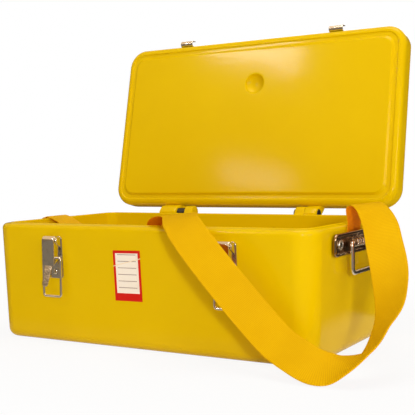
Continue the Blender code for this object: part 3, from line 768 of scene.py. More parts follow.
def fine_outline(outline, step=0.0006):
    """An outline with points close together all the way round."""
    closed = np.concatenate([outline, outline[:1]])
    length = lengths(closed)
    return spots_at(closed, length, np.linspace(0, length[-1], int(length[-1] / step), endpoint=False))


def turned_by(flat, angle):
    """Flat points turned about the hinge axis."""
    a, b = np.asarray(flat, float).T
    return np.stack([a * math.cos(angle) - b * math.sin(angle),
                     a * math.sin(angle) + b * math.cos(angle)], axis=1)


print("hinges: axis %.0f mm behind the rear wall" % (1000 * HINGE_OUT))

# %% Hinges
wall_at = -HINGE_OUT - 0.0035
lug = fine_outline(outline_round((0, 0, KNUCKLE), points=[
    (wall_at, HEIGHT - 0.007 - AXIS_Z), (wall_at, HEIGHT - LUG_DROP - AXIS_Z)]))
heel = -HINGE_OUT + 0.0003
reach = -HINGE_OUT - 0.0022
heel_open = [(heel, -0.012), (heel, 0.0018)]
arm_open = turned_by([(reach, LID_LOW_EDGE + 0.0005), (reach, LID_LOW_EDGE + 0.018)], -OPEN)
knuckle = fine_outline(outline_round((0, 0, KNUCKLE), points=heel_open + [tuple(spot) for spot in arm_open]))
for side, spans in HINGES.items():
    lug_shells = [barrel(lug, *spans["tub"])]
    low, high = spans["pin"]
    if side == "left":
        end = spans["tub"][1]
        cap = rounded_line([(0, end - CAP_BACK, 0), (CAP, end - CAP_BACK, 0),
                            (CAP, end + CAP_FRONT, 0.0003), (0, end + CAP_FRONT, 0)])
        lug_shells.append(turned(cap, (0, AXIS_Y, AXIS_Z), (1, 0, 0), 56))
        high = end - 0.0020
    piece("tub_lug_" + side, lug_shells, YELLOW, "tub", slot="yellow_plastic")
    piece("lid_knuckle_" + side, [barrel(knuckle, *spans["lid"], KNUCKLE_EDGE)], YELLOW, "lid_leaf",
          slot="yellow_plastic")
    profile = rounded_line([(0, low, 0), (HINGE_PIN, low, PIN_EDGE),
                            (HINGE_PIN, high, PIN_EDGE), (0, high, 0)])
    piece("hinge_pin_skin_" + side, [turned(profile, (0, AXIS_Y, AXIS_Z), (1, 0, 0), 56)],
          NYLON, "tub", ["hinge_pin_" + side], "black_nylon")
print("hinges: pin %.1f mm across in a %.1f mm barrel" % (2000 * HINGE_PIN, 2000 * KNUCKLE))

# %% [markdown]
# ## Toggle latches
#
# A latch pulls the lid down with a wire bail. The bail hangs in eyes at the foot of a pressed lever, and the
# lever turns between two cheeks of a base plate that is riveted to the tub. The lever is a channel: a web
# that curls over at the top, two flanges, and a narrow thumb tab that bends out at the bottom. Sections are
# drawn as distance out from the rim and height, and the width of the sheet goes across them.

# %% Latch sizes


def front_spot(joint):
    """Distance out from the front rim, and height, of a joint's axis."""
    return np.array([-WIDTH / 2 - joints[joint]["pos_m"][1], joints[joint]["pos_m"][2]])


SIDES = (("left", -1), ("right", 1))
LATCH_X = joints["lever_right_turn"]["pos_m"][0]
PIVOT = front_spot("lever_right_turn")
EYE = front_spot("wire_right_swing")
SHEET = 0.0016
SHEET_EDGE = 0.0005
FINE_STEP = 0.0005
GAP = 0.0003
LEVER_WIDE = 0.024
LEVER_CURL = 0.0062
LEVER_LONG = 0.0395
TAB_WIDE = 0.016
TAB_LONG = 0.0325
TAB_BEND = 0.0112
TAB_LAP = 0.004
TAB_BACK = 0.0014
BAIL_DROP = 0.061
BAIL_WIDE = 0.035
BAIL_WIRE = 0.0020
BAIL_BEND = 0.0038
PLATE_WIDE = 0.031
PLATE_TOP = 0.018
PLATE_LOW = 0.0855
PLATE_THICK = 0.0020
PIN = 0.0020
PIN_HEAD = (0.0030, 0.0009)
RIVET = 0.0020
RIVET_HEAD = (0.0042, 0.0019)
RIVET_TAIL = (0.0036, 0.0012)
RIVET_DROPS = (("upper", 0.043), ("lower", 0.075))
FALL = math.atan2(DRAFT, HEIGHT)
OUT = np.array([0, -math.cos(FALL), -math.sin(FALL)])
print("latches: %.0f mm either side of the middle" % (1000 * LATCH_X))

# %% Pressed sheet


def front_of(latch_x):
    """The place function of one latch: distance out, height and sideways offset to a world point."""
    def place(out, height, across):
        out, height, across = np.broadcast_arrays(out, height, across)
        return np.stack([latch_x + across, -WIDTH / 2 - out, height], axis=-1)
    return place


def pressed(line, half_wide, place, loop):
    """A sheet that follows a line in section. half_wide is one half width, or one for each point."""
    line = np.asarray(line, float)
    ahead = unit(np.gradient(line, axis=0))
    flat = np.zeros(len(line))
    middle = place(line[:, 0], line[:, 1], flat)
    wide = np.stack([flat + half_wide, flat, flat], axis=1)
    raised = line + 0.5 * SHEET * np.stack([-ahead[:, 1], ahead[:, 0]], axis=1)
    return band(middle, wide, place(raised[:, 0], raised[:, 1], flat) - middle, loop)


def fine_line(line, step=0.0006):
    """A line with points close together."""
    line = np.asarray(line, float)
    length = lengths(line)
    return spots_at(line, length, np.linspace(0, length[-1], max(2, int(length[-1] / step))))


def steel(kind, which, shells, finish, body, **more):
    """A bright metal piece that takes the place of the solid of the same name."""
    solid = "%s_%s" % (kind, which)
    piece("%s_skin_%s" % (kind, which), shells, finish, body, [solid], "bright_steel", **more)


print("pressed sheet: %.1f mm thick" % (1000 * SHEET))

# %% Lever and base
web_at = PIVOT[0] + LEVER_CURL
lever_low = PIVOT[1] - LEVER_LONG
half_lever = LEVER_WIDE / 2
cheek = half_lever + GAP + SHEET
SHEET_LOOP = flat_loop(10, 0.06)
TAB_LOOP = flat_loop(10, 0.10)


def lever_shells(place):
    """Web and curl, two flanges, and a tab that narrows to a round tip."""
    curl = arc(PIVOT, LEVER_CURL, 0, 150, 40)
    web = fine_line(np.concatenate([[(web_at, lever_low)], curl]))
    shells = [pressed(web, half_lever - 0.0002, place, SHEET_LOOP)]
    foot = (-lean(EYE[1]) + PLATE_THICK + 2.5 * GAP, EYE[1])
    side = outline_round((*PIVOT, LEVER_CURL), (*EYE, 0.0037),
                         points=[(web_at, PIVOT[1]), (web_at, lever_low + 0.001), foot])
    side = fine_outline(side, FINE_STEP)
    for across in (-half_lever, half_lever - SHEET):
        shells.append(plate(side, place, across, across + SHEET, SHEET_EDGE))
    share = np.linspace(0, 1, 60)
    out = web_at - TAB_BACK + TAB_BEND * share
    tab = np.stack([out, lever_low + TAB_LAP - (TAB_LONG + TAB_LAP) * share], axis=1)
    taper = 1 - 0.30 * np.clip((share - 0.2) / 0.8, 0, 1)
    tip = np.sqrt(np.clip(1 - np.clip((share - 0.86) / 0.14, 0, 1) ** 2, 0.02, 1))
    shells.append(pressed(tab, TAB_WIDE / 2 * taper * tip, place, TAB_LOOP))
    return shells


def base_shells(place):
    """The riveted base plate, with a rolled rim and rounded corners, and the two cheeks on it."""
    low, high = HEIGHT - PLATE_LOW, HEIGHT - PLATE_TOP
    half_x, half_z = PLATE_WIDE / 2, (high - low) / 2
    line = rounded_line([(half_x, 0, 0), (0, 0, 0.0003), (0, PLATE_THICK, 0.0008),
                         (half_x, PLATE_THICK, 0)], 0.004, 4)
    across, up_down = rings(half_x, half_z, 0.005, line[:, 0], 20, 30, 0.001)
    height = (low + high) / 2 + up_down
    out = -lean(height) + GAP + line[:, 1:]
    shells = [shell(place(out, height, across))]
    back = -lean(PIVOT[1]) + GAP + 0.001
    side = outline_round((*PIVOT, 0.0045), points=[(back, PIVOT[1] - 0.012), (back, PIVOT[1] + 0.0055)])
    side = fine_outline(side, FINE_STEP)
    for across in (-cheek, cheek - SHEET):
        shells.append(plate(side, place, across, across + SHEET, SHEET_EDGE))
    return shells


print("lever: %.0f mm wide, with a %.0f mm tab" % (1000 * LEVER_WIDE, 1000 * TAB_LONG))

# %% Latches


def bail_path(half, drop, bend, start, low_bend):
    """A wire loop from one eye, down and across and up, to the other eye, with two bends on each side."""
    corners = [(-start, 0, 0), (-half, 0, bend), (-half, -drop, low_bend), (half, -drop, low_bend),
               (half, 0, bend), (start, 0, 0)]
    return rounded_line(corners, 0.002, 12)


def dome(radius, height, base, steps=8):
    """Radius and height pairs of a low dome on a flat, from its foot to its top."""
    turn = np.linspace(0, np.pi / 2, steps)
    return [(radius * math.cos(t), base + height * math.sin(t)) for t in turn]


loop = bail_path(BAIL_WIDE / 2, BAIL_DROP, BAIL_BEND, half_lever - 2 * SHEET, BAIL_BEND)
span = cheek + GAP
head = [(r, span + h) for r, h in dome(*PIN_HEAD, 0)]
pin_profile = [(r, -h) for r, h in head[::-1]] + [(PIN, -span), (PIN, span)] + head
top = 2 * GAP + PLATE_THICK
tail = -WALL - GAP - 0.0001
rivet_profile = [(r, tail - h) for r, h in dome(*RIVET_TAIL, 0)[::-1]]
rivet_profile += [(RIVET, tail), (RIVET, top)] + dome(*RIVET_HEAD, top)
for side, sign in SIDES:
    place = front_of(sign * LATCH_X)
    steel("latch_base", side, base_shells(place), CHROME, "tub")
    steel("latch_lever", side, lever_shells(place), CHROME, "lever_" + side)
    path = place(EYE[0], EYE[1] + loop[:, 1], loop[:, 0])
    steel("latch_bail", side, [wire(path, (0, 1, 0), BAIL_WIRE)], WIRE, "wire_" + side)
    steel("latch_pin", side, [turned(pin_profile, place(*PIVOT, 0.0), (1, 0, 0))], WIRE, "tub")
    for level, drop in RIVET_DROPS:
        z = HEIGHT - drop
        rivet = turned(rivet_profile, place(-lean(z), z, 0.0), OUT)
        steel("latch_rivet", "%s_%s" % (side, level), [rivet], WIRE, "tub")
print("latches: bail of %.0f mm wire" % (2000 * BAIL_WIRE))

# %% [markdown]
# ## Hooks on the lid
#
# The bails catch in two hooks on the lid's front edge. Each is a strip, held by two rivets, whose lower end
# is rolled up into a J. They are drawn with the lid shut and turned back with it.

# %% Hooks
HOOK_WIDE = 0.027
HOOK_CURL = 0.0052
BAR_RISE = 0.009
HOOK_LONG = 0.026
HOOK_TIP = (0.0012, 0.006)
HOOK_RIVET_UP = 0.019
HOOK_RIVET_OFF = 0.007
HOOK_RIVET_IN = -0.005
HOOK_RIVET_HEAD = (0.0038, 0.0017)
hook_at = GAP + SHEET / 2
curl_at = np.array([hook_at + HOOK_CURL, HEIGHT + BAR_RISE + 0.002])
hook_line = np.concatenate([
    [(hook_at, curl_at[1] + HOOK_LONG)],
    arc(curl_at, HOOK_CURL, 180, 360, 40),
    [(curl_at[0] + HOOK_CURL + HOOK_TIP[0], curl_at[1] + HOOK_TIP[1])],
])
top = 2 * GAP + SHEET
rivet_profile = [(RIVET, HOOK_RIVET_IN), (RIVET, top)] + dome(*HOOK_RIVET_HEAD, top)
for side, sign in SIDES:
    place = front_of(sign * LATCH_X)
    points, faces = pressed(fine_line(hook_line), HOOK_WIDE / 2, place, SHEET_LOOP)
    steel("lid_hook", side, [(opened(points), faces)], CHROME, "lid_leaf")
    for spot, across in (("inner", -sign * HOOK_RIVET_OFF), ("outer", sign * HOOK_RIVET_OFF)):
        points, faces = turned(rivet_profile, place(0.0, curl_at[1] + HOOK_RIVET_UP, across), (0, -1, 0))
        steel("hook_rivet", "%s_%s" % (side, spot), [(opened(points), faces)], WIRE, "lid_leaf")
print("hooks: %.0f mm wide" % (1000 * HOOK_WIDE))

# %% [markdown]
# ## End handles
#
# A handle is a pressed plate with a rolled rim, two ears that carry a wire handle, and a coil spring round
# the axis that lays the handle flat again. Two cross-head screws hold the plate, and the strap's end is
# clamped behind it. The plate is one stack of rings: its section runs along the back, round the bead and
# in over the face.

# %% Handle sizes
HANDLE_AT = abs(joints["handle_right_swing"]["pos_m"][0])
HANDLE_Z = joints["handle_right_swing"]["pos_m"][2]
HANDLE_LONG = 0.196
HANDLE_HIGH = 0.033
HANDLE_BEAD = 0.0028
HANDLE_SHEET = 0.0018
HANDLE_WIRE = 0.0037
HANDLE_REACH = 0.043
HANDLE_LEG = 0.047
HANDLE_BEND = 0.007
HANDLE_CORNER = 0.007 + HANDLE_BEAD
EAR_IN = 0.0375
EAR_THICK = 0.0050
EAR_ROUND = 0.0052
EAR_FOOT = 0.007
SPRING_COIL = 0.0046
SPRING_WIRE = 0.0012
SPRING_PITCH = 0.0104
SCREW_AT = 0.075
SCREW_HEAD = 0.0074
SCREW_SHANK = 0.0020
SCREW_IN = -0.0035
CROSS_WIDE, CROSS_LONG = 0.0016, 0.0060
CROSS_DEEP = 0.0021
STRAP_THICK = 0.0023
STAND = STRAP_THICK + 2 * GAP


def end_of(sign):
    """The place function of one end wall: distance out, height and offset along the wall to a world
    point."""
    def place(out, height, along):
        out, height, along = np.broadcast_arrays(out, height, along)
        return np.stack([sign * (LENGTH / 2 - lean(height) + out), along, height], axis=-1)
    return place


print("handles: axis %.0f mm above the floor" % (1000 * HANDLE_Z))

# %% Handle plate and screw


def plate_shells(place):
    """The plate with its rolled rim, and the two ears on it."""
    half_z = HANDLE_HIGH / 2
    bead = arc((HANDLE_BEAD, STAND + HANDLE_BEAD), HANDLE_BEAD, -90, -315, 26)
    line = np.concatenate([[(half_z, STAND)], bead, [(2.4 * HANDLE_BEAD, STAND + HANDLE_SHEET)],
                           [(0.75 * half_z, STAND + HANDLE_SHEET), (half_z, STAND + HANDLE_SHEET)]])
    along, up_down = rings(HANDLE_LONG / 2, half_z, HANDLE_CORNER, line[:, 0], 50, 14, 0.0004)
    shells = [shell(place(line[:, 1:], HANDLE_Z + up_down, along))]
    axis_out = HANDLE_AT - LENGTH / 2 + lean(HANDLE_Z)
    foot = STAND + 0.001
    ear = outline_round((axis_out, HANDLE_Z, EAR_ROUND),
                        points=[(foot, HANDLE_Z - EAR_FOOT), (foot, HANDLE_Z + EAR_FOOT)])
    ear = fine_outline(ear, FINE_STEP)
    for along in (-EAR_IN - EAR_THICK, EAR_IN):
        shells.append(plate(ear, place, along, along + EAR_THICK, 0.0010, 4))
    return shells


def cross_arm(a, b):
    """One inside an arm of the cross that runs along b, falling to nought over a short slope."""
    return np.clip((CROSS_WIDE - np.abs(a)) / 0.0003, 0, 1) * np.clip((CROSS_LONG - np.abs(b)) / 0.0004, 0, 1)


def screw_shell(base, axis, top):
    """A round-headed screw: a turned head whose height drops inside a cross, on a grid of radius and turn.
    The map that goes with it is one inside the cross and nought outside, and places the painted shade there."""
    turn = np.linspace(0, 2 * np.pi, 160, endpoint=False)
    share = np.concatenate([np.linspace(0, 0.72, 44), np.linspace(0.74, 1, 14)])
    radius = SCREW_HEAD * share[:, None] + 0 * turn
    rise = 0.0006 + 0.0029 * np.sqrt(np.clip(1 - share[:, None] ** 2.4, 0, 1)) + 0 * turn
    a, b = radius * np.cos(turn + np.pi / 4), radius * np.sin(turn + np.pi / 4)
    arm = np.maximum(cross_arm(a, b), cross_arm(b, a))
    rise = rise - CROSS_DEEP * arm * (1 - 0.35 * share[:, None])
    side = np.array([0.0, 1.0, 0.0])
    other = np.cross(unit(axis), side)
    skirt = [(SCREW_HEAD, top), (SCREW_SHANK, top), (SCREW_SHANK, SCREW_IN), (0.0, SCREW_IN)]
    rows = [np.stack([r * np.cos(turn), r * np.sin(turn), np.full_like(turn, h)], axis=1) for r, h in skirt]
    head = np.stack([radius * np.cos(turn), radius * np.sin(turn), top + rise], axis=-1)
    local = np.concatenate([head, np.stack(rows)])
    grid = local[..., :1] * side + local[..., 1:2] * other + local[..., 2:] * unit(axis)
    mark = np.concatenate([arm, np.zeros((len(skirt), len(turn)))]).reshape(-1, 1)
    return shell(grid + np.asarray(base)), np.repeat(mark, 2, axis=1)


print("handle plate: %.0f by %.0f mm" % (1000 * HANDLE_LONG, 1000 * HANDLE_HIGH))

# %% Handles


def spring_path(sign):
    """A helix round the handle's axis, from ear to ear, with its radius direction for each point."""
    reach = EAR_IN - SPRING_WIRE - 0.0004
    turns = 2 * reach / SPRING_PITCH
    share = np.linspace(0, 1, int(turns * 28))
    turn = share * turns * 2 * np.pi - math.pi / 2
    round_it = np.stack([sign * np.cos(turn), 0 * turn, np.sin(turn)], axis=1)
    axis = np.stack([0 * turn + sign * HANDLE_AT, -reach + 2 * reach * share, 0 * turn + HANDLE_Z], axis=1)
    return axis + SPRING_COIL * round_it, round_it


bend = HANDLE_LEG - EAR_IN - EAR_THICK
loop = bail_path(HANDLE_LEG, HANDLE_REACH, bend, EAR_IN - 0.006, HANDLE_BEND)
top = STAND + HANDLE_SHEET + GAP
for side, sign in SIDES:
    place = end_of(sign)
    steel("handle_plate", side, plate_shells(place), HANDLE_PLATE_PAINTED_REFLECTION, "tub")
    path = np.stack([0 * loop[:, 0] + sign * HANDLE_AT, loop[:, 0], HANDLE_Z + loop[:, 1]], axis=1)
    steel("handle_bail", side, [wire(path, (1, 0, 0), HANDLE_WIRE, 20)], WIRE, "handle_" + side)
    steel("handle_spring", side, [wire(*spring_path(sign), SPRING_WIRE, 12)], WIRE, "tub")
    outward = np.array([sign * math.cos(FALL), 0, -math.sin(FALL)])
    for spot, along in (("front", -SCREW_AT), ("rear", SCREW_AT)):
        head, mark = screw_shell(place(0.0, HANDLE_Z, along), outward, top)
        # the head's map carries the cross mask for its painted shade
        steel("handle_screw", "%s_%s" % (side, spot), [head], CROSS, "tub", crease=50, uv=mark)
print("handles: spring of %.1f turns" % (2 * EAR_IN / SPRING_PITCH))

# %% [markdown]
# ## The strap
#
# The strap is one length of woven webbing. Its ends are clamped behind the handle plates. From the left it
# goes over the rim, sags into the tub, comes out over the front rim, hangs to the floor, turns over and goes
# up in a loop to the right-hand plate. It is made directly, as a ribbon through stations, each with a point
# and the direction of the strap's width. The ribs across it are real: the thickness rises and falls along
# the length. It is cut where the lid shuts on it, and the part over the tub gets a mesh of its own.

# %% Strap stations
STRAP_WIDE = 0.052
LAY = GAP + STRAP_THICK / 2
LEFT = -LENGTH / 2
LEFT_Y = -0.0155
RIGHT_Y = -0.0165
OVER = RIM_EDGE + LAY + 0.0003
FLAT_Z = HEIGHT + TONGUE_HIGH + GAP + STRAP_THICK / 2
CLAMPED = (0.040, 0.025, 0.012)
FREE = [
    ((-0.862, -0.100, 0.968), (0, 1, 0)),
    ((-0.724, -0.119, 0.832), (0.05, 1, 0)),
    ((-0.517, -0.214, 0.668), (0.2, 1, 0)),
    ((-0.310, -0.340, 0.632), (0.35, 0.93, 0)),
    ((-0.138, -0.470, 0.735), (0.37, 0.93, -0.04)),
    ((0.005, -0.590, 0.897), (0.47, 0.88, -0.01)),
    ((0.108, -0.780, 1.049), (0.60, 0.80, 0.01)),
    ((0.258, -0.955, 1.094), (0.75, 0.65, 0.08)),
    ((0.343, -1.170, 1.056), (0.75, 0.58, 0.31)),
    ((0.451, -1.286, 0.925), (0.64, 0.55, 0.54)),
    ((0.635, -1.327, 0.641), (0.64, 0.48, 0.60)),
    ((0.775, -1.247, 0.374), (0.61, 0.48, 0.63)),
    ((0.882, -1.270, 0.239), (0.51, 0.60, 0.62)),
    ((0.998, -1.321, 0.160), (0.40, 0.64, 0.66)),
    ((1.075, -1.333, 0.115), (0.14, 0.69, 0.71)),
    ((1.133, -1.316, 0.108), (-0.28, 0.70, 0.65)),
    ((1.206, -1.263, 0.139), (-0.55, 0.82, 0.18)),
    ((1.278, -1.167, 0.201), (-0.58, 0.77, -0.26)),
    ((1.297, -1.107, 0.240), (-0.66, 0.60, -0.42)),
    ((1.310, -0.978, 0.326), (-0.71, 0.53, -0.45)),
    ((1.324, -0.829, 0.446), (-0.85, 0.32, -0.41)),
    ((1.308, -0.691, 0.550), (-0.90, 0.10, -0.40)),
    ((1.265, -0.500, 0.700), (-0.92, -0.22, -0.26)),
    ((1.210, -0.345, 0.891), (-0.86, -0.49, -0.10)),
    ((1.181, -0.279, 0.999), (-0.78, -0.61, -0.14)),
    ((1.133, -0.219, 1.109), (-0.59, -0.80, -0.10)),
    ((1.086, -0.169, 1.151), (-0.48, -0.88, -0.06)),
    ((1.042, -0.130, 1.129), (-0.36, -0.93, 0.00)),
]
stations = [((LEFT + lean(HEIGHT - drop) - LAY, LEFT_Y, HEIGHT - drop), (0, 1, 0)) for drop in CLAMPED]
stations += [((LEFT + RIM_EDGE + a, LEFT_Y, HEIGHT - RIM_EDGE + b), (0, 1, 0))
             for a, b in arc((0, 0), OVER, 180, 95, 4)]
stations += [((LEFT + RIM_WIDTH - 0.003, LEFT_Y, FLAT_Z + 0.0006), (0, 1, 0))]
stations += [((x * LENGTH / 2, y * WIDTH / 2, z * HEIGHT), wide) for (x, y, z), wide in FREE]
stations += [((-LEFT + 0.0045, -0.0175, HEIGHT + 0.010), (-0.05, -1, 0))]
stations += [((-LEFT + 0.0024, RIGHT_Y, HEIGHT - 0.002), (0, -1, 0))]
stations += [((-LEFT - lean(HEIGHT - drop) + LAY, RIGHT_Y, HEIGHT - drop), (0, -1, 0))
             for drop in CLAMPED[::-1]]
strap_points = np.array([[float(value) for value in spot] for spot, wide in stations])
strap_widths = unit([wide for spot, wide in stations])
knots = lengths(strap_points)
print("strap: %d stations" % len(stations))

# %% Strap ribbon


def smooth(values, at):
    """A curve through the values at the knots: on each stretch a cubic whose end slopes come from the
    neighbouring stations."""
    slope = np.zeros_like(values)
    slope[1:-1] = (values[2:] - values[:-2]) / (knots[2:] - knots[:-2])[:, None]
    slope[0] = (values[1] - values[0]) / (knots[1] - knots[0])
    slope[-1] = (values[-1] - values[-2]) / (knots[-1] - knots[-2])
    k = np.clip(np.searchsorted(knots, at, side="right") - 1, 0, len(knots) - 2)
    h = (knots[k + 1] - knots[k])[..., None]
    t = (at - knots[k])[..., None] / h
    return ((2 * t ** 3 - 3 * t ** 2 + 1) * values[k] + (t ** 3 - 2 * t ** 2 + t) * h * slope[k]
            + (3 * t ** 2 - 2 * t ** 3) * values[k + 1] + (t ** 3 - t ** 2) * h * slope[k + 1])


def ribbon(at):
    """Middle line, width direction and face direction of the strap at these lengths."""
    after, before = np.minimum(at + FINE_STEP, knots[-1]), np.maximum(at - FINE_STEP, 0)
    ahead = unit(smooth(strap_points, after) - smooth(strap_points, before))
    wide = smooth(strap_widths, at)
    wide = unit(wide - ahead * np.sum(wide * ahead, axis=-1, keepdims=True))
    return smooth(strap_points, at), wide, np.cross(ahead, wide)


fine = np.linspace(0, knots[-1], 3000)
fine_middle, fine_wide, _ = ribbon(fine)
LANES = np.linspace(-1, 1, 5)


def crossing(lane, after, before, rising):
    """Length at which the line at this share of the width passes the rim height."""
    z = (fine_middle + fine_wide * lane * STRAP_WIDE / 2)[:, 2] - HEIGHT
    inside = (fine > after) & (fine < before)
    turn = np.where(inside[:-1] & ((z[:-1] < 0) == rising) & ((z[1:] < 0) != rising))[0]
    return fine[turn[0] if rising else turn[-1]]


TOP_LEFT, CREST, LOWEST, WAIST = knots[[7, 15, 23, 26]]
lift = [crossing(lane, 0, TOP_LEFT, True) for lane in LANES]
fall = [crossing(lane, CREST, LOWEST, False) for lane in LANES]
CUTS = [np.zeros(5), np.array(lift), np.array(fall), np.full(5, WAIST), np.full(5, knots[-1])]

# %% [markdown]
# ## The webbing's weave
#
# Webbing is woven tight, with warp threads along it and a thicker weft across it, so it shows fine ribs from
# edge to edge. Each rib is a small roll in the mesh. The threads on the ribs are finer than a face, so they
# come from the material, which reads the strap's own map: metres along in one direction and across in the
# other. Warp threads pass over one rib and under the next, which gives a checked pattern of tiny pillows.

# %% Webbing finish
RIB = 0.0022
THREAD = 0.0011
INNER_SIDE = 900 * THREAD


def webbing():
    """Orange-yellow webbing: checked pillows of thread, with painted shade in the gaps, and a soft sheen. The
    back side, seen inside the loops, is painted a deeper orange that stands in for the shade there."""
    made, tree, shader = blank("woven_webbing", linear(224, 177, 0), 0.75, specular=0.06)
    shader.inputs["Sheen Weight"].default_value = 0.03
    shader.inputs["Sheen Roughness"].default_value = 0.5
    shader.inputs["Sheen Tint"].default_value = linear(255, 196, 40)
    along, across = own_map(tree)
    ribs = reckon(tree, "SINE", reckon(tree, "MULTIPLY", along, math.pi / RIB))
    threads = reckon(tree, "SINE", reckon(tree, "MULTIPLY", across, math.pi / THREAD))
    pillow = reckon(tree, "ABSOLUTE", reckon(tree, "MULTIPLY", ribs, threads))
    where = object_place(tree)
    fuzz = noise(tree, where, 1500.0, 2.0)
    drift = noise(tree, where, 30.0, 3.0)
    shade = spread(tree, pillow, 0.0, 1.0, 0.0, 0.5)
    worn = mix_colour(tree, spread(tree, drift, 0, 1), linear(222, 175, 0), linear(227, 182, 3))
    inner = reckon(tree, "GREATER_THAN", across, INNER_SIDE / 2)
    # painted shade: the yarn is darker in the gaps between the pillows
    outer_yarn = mix_colour(tree, shade, linear(206, 150, 0), worn)
    # painted shade: the back side gets a deeper orange for the shade inside the loops
    shaded_back_yarn = mix_colour(tree, shade, linear(212, 116, 0), linear(238, 142, 0))
    raised = bump(tree, pillow, 0.00016, 0.7)
    feed(tree, shader, {
        "Base Color": mix_colour(tree, inner, outer_yarn, shaded_back_yarn),
        "Roughness": spread(tree, fuzz, 0.62, 0.85),
        "Normal": bump(tree, fuzz, 0.00005, 0.5, raised),
    })
    return made


WEBBING = webbing()
print("webbing: %.1f mm ribs" % (1000 * RIB))

# %% Strap pieces
STRAP_LOOP = flat_loop(22, 0.03)
RIB_STEPS = 4
RIB_DEEP = 0.22


def strap_piece(name, start, end):
    """The ribbon between two cuts. Thickness falls by the rib depth between one rib and the next."""
    rows = max(8, int(np.mean(end - start) / RIB * RIB_STEPS))
    share = np.linspace(0, 1, rows + 1)[:, None]
    lane = STRAP_LOOP[:, 0]
    at = np.interp(lane, LANES, start) * (1 - share) + np.interp(lane, LANES, end) * share
    middle, wide, face = ribbon(at)
    rib = 1 - RIB_DEEP * np.sin(np.pi * at / RIB) ** 2
    half = STRAP_THICK / 2 * rib * STRAP_LOOP[:, 1]
    grid = middle + wide * (lane * STRAP_WIDE / 2)[None, :, None] + face * half[..., None]
    # the back side is moved along the map by INNER_SIDE, where the finish paints its shade as a deeper orange
    across = lane * STRAP_WIDE / 2 + np.where(STRAP_LOOP[:, 1] > -0.6, 0, INNER_SIDE)
    uv = np.stack([at, np.broadcast_to(across, at.shape)], axis=-1).reshape(-1, 2)
    made = piece(name + "_webbing", [shell(grid, capped=True)], WEBBING, "tub", [name], "webbing", 50, uv)
    return made


strap_piece("strap_left", CUTS[0], CUTS[1])
strap_across = strap_piece("strap_across", CUTS[1], CUTS[2])
strap_piece("strap_front", CUTS[2], CUTS[3])
strap_piece("strap_right", CUTS[3], CUTS[4])
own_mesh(strap_across)

# %% [markdown]
# ## The label
#
# A stuck-on label sits on the front, a little crooked. It has a red frame, a cream field with ruled lines to
# write on, and a red strip at the foot. It is a thin sheet that follows the leaning wall, and its print is
# worked out from its own map, where both directions run from 0 to 1.

# %% Label
LABEL_WIDE = 0.0505
LABEL_HIGH = 0.0775
LABEL_AT = (-0.0177, 0.1144)
LABEL_TILT = math.radians(0.9)
LABEL_THICK = 0.00025
LABEL_LIFT = 0.00005


def label_print():
    """Cream field inside a red frame, ruled with grey lines, with one scratch across it, under a light
    gloss."""
    made, tree, shader = blank("printed_label", linear(206, 22, 8), 0.35, specular=0.2)
    a, b = own_map(tree)
    from_middle = reckon(tree, "ABSOLUTE", reckon(tree, "SUBTRACT", a, 0.5))
    inside = reckon(tree, "LESS_THAN", from_middle, 0.415)
    above = reckon(tree, "GREATER_THAN", b, 0.155)
    below = reckon(tree, "LESS_THAN", b, 0.945)
    field = reckon(tree, "MULTIPLY", reckon(tree, "MULTIPLY", inside, above), below)
    ruled = reckon(tree, "LESS_THAN", reckon(tree, "MODULO", b, 0.13), 0.012)
    short = reckon(tree, "LESS_THAN", from_middle, 0.34)
    where = object_place(tree)
    grain = noise(tree, where, 700.0, 3.0)
    red = mix_colour(tree, grain, linear(204, 18, 6), linear(218, 28, 12))
    cream = mix_colour(tree, grain, linear(244, 234, 218), linear(252, 246, 234))
    paper = mix_colour(tree, reckon(tree, "MULTIPLY", ruled, short), cream, linear(150, 120, 110))
    printed = mix_colour(tree, field, red, paper)
    slope = reckon(tree, "MULTIPLY_ADD", a, -0.155, b)
    scratch = reckon(tree, "COMPARE", slope, 0.688, 0.008)
    feed(tree, shader, {
        "Base Color": mix_colour(tree, scratch, printed, linear(246, 226, 190)),
        "Roughness": spread(tree, grain, 0.3, 0.45),
        "Normal": bump(tree, noise(tree, where, 120.0, 2.0), 0.00008, 0.4),
    })
    return made


a, b = np.meshgrid(np.linspace(0, 1, 25), np.linspace(0, 1, 37))
flat_x = (a - 0.5) * LABEL_WIDE
flat_z = (b - 0.5) * LABEL_HIGH
label_x = LABEL_AT[0] + flat_x * math.cos(LABEL_TILT) - flat_z * math.sin(LABEL_TILT)
label_z = LABEL_AT[1] + flat_x * math.sin(LABEL_TILT) + flat_z * math.cos(LABEL_TILT)
place = front_of(0.0)
front_skin = place(-lean(label_z) + LABEL_THICK + LABEL_LIFT, label_z, label_x)
back_skin = place(-lean(label_z) + LABEL_LIFT, label_z, label_x)
rim = np.concatenate([front_skin, back_skin[::-1]])
label_uv = np.stack([np.concatenate([way, way[::-1]]) for way in (a, b)], axis=-1).reshape(-1, 2)
points, faces = shell(rim, wrap_rows=True, wrap_columns=False)
columns = rim.shape[1]
left = tuple(range(0, len(points), columns))
far = tuple(range(columns - 1, len(points), columns))
piece("front_label", [(points, faces + [left, far])], label_print(), "tub", crease=30, uv=label_uv)
print("label: %.0f by %.0f mm" % (1000 * LABEL_WIDE, 1000 * LABEL_HIGH))

# %% [markdown]
# ## Floor, world and light
#
# The background is white because the floor and the world look white to the camera, not because the box is
# lit harder. The floor still takes a soft shadow. Mirrors see the same white sheet, which ends a hand's
# width from the box and behind it, and a dim room beyond: that keeps the yellow deep and gives the chrome
# something dark to show. Most of the light comes from one lamp just right of the camera, which throws the
# strap's shadow on the end wall. A soft one lights the back, and two small lamps stand where the lid
# mirrors them.

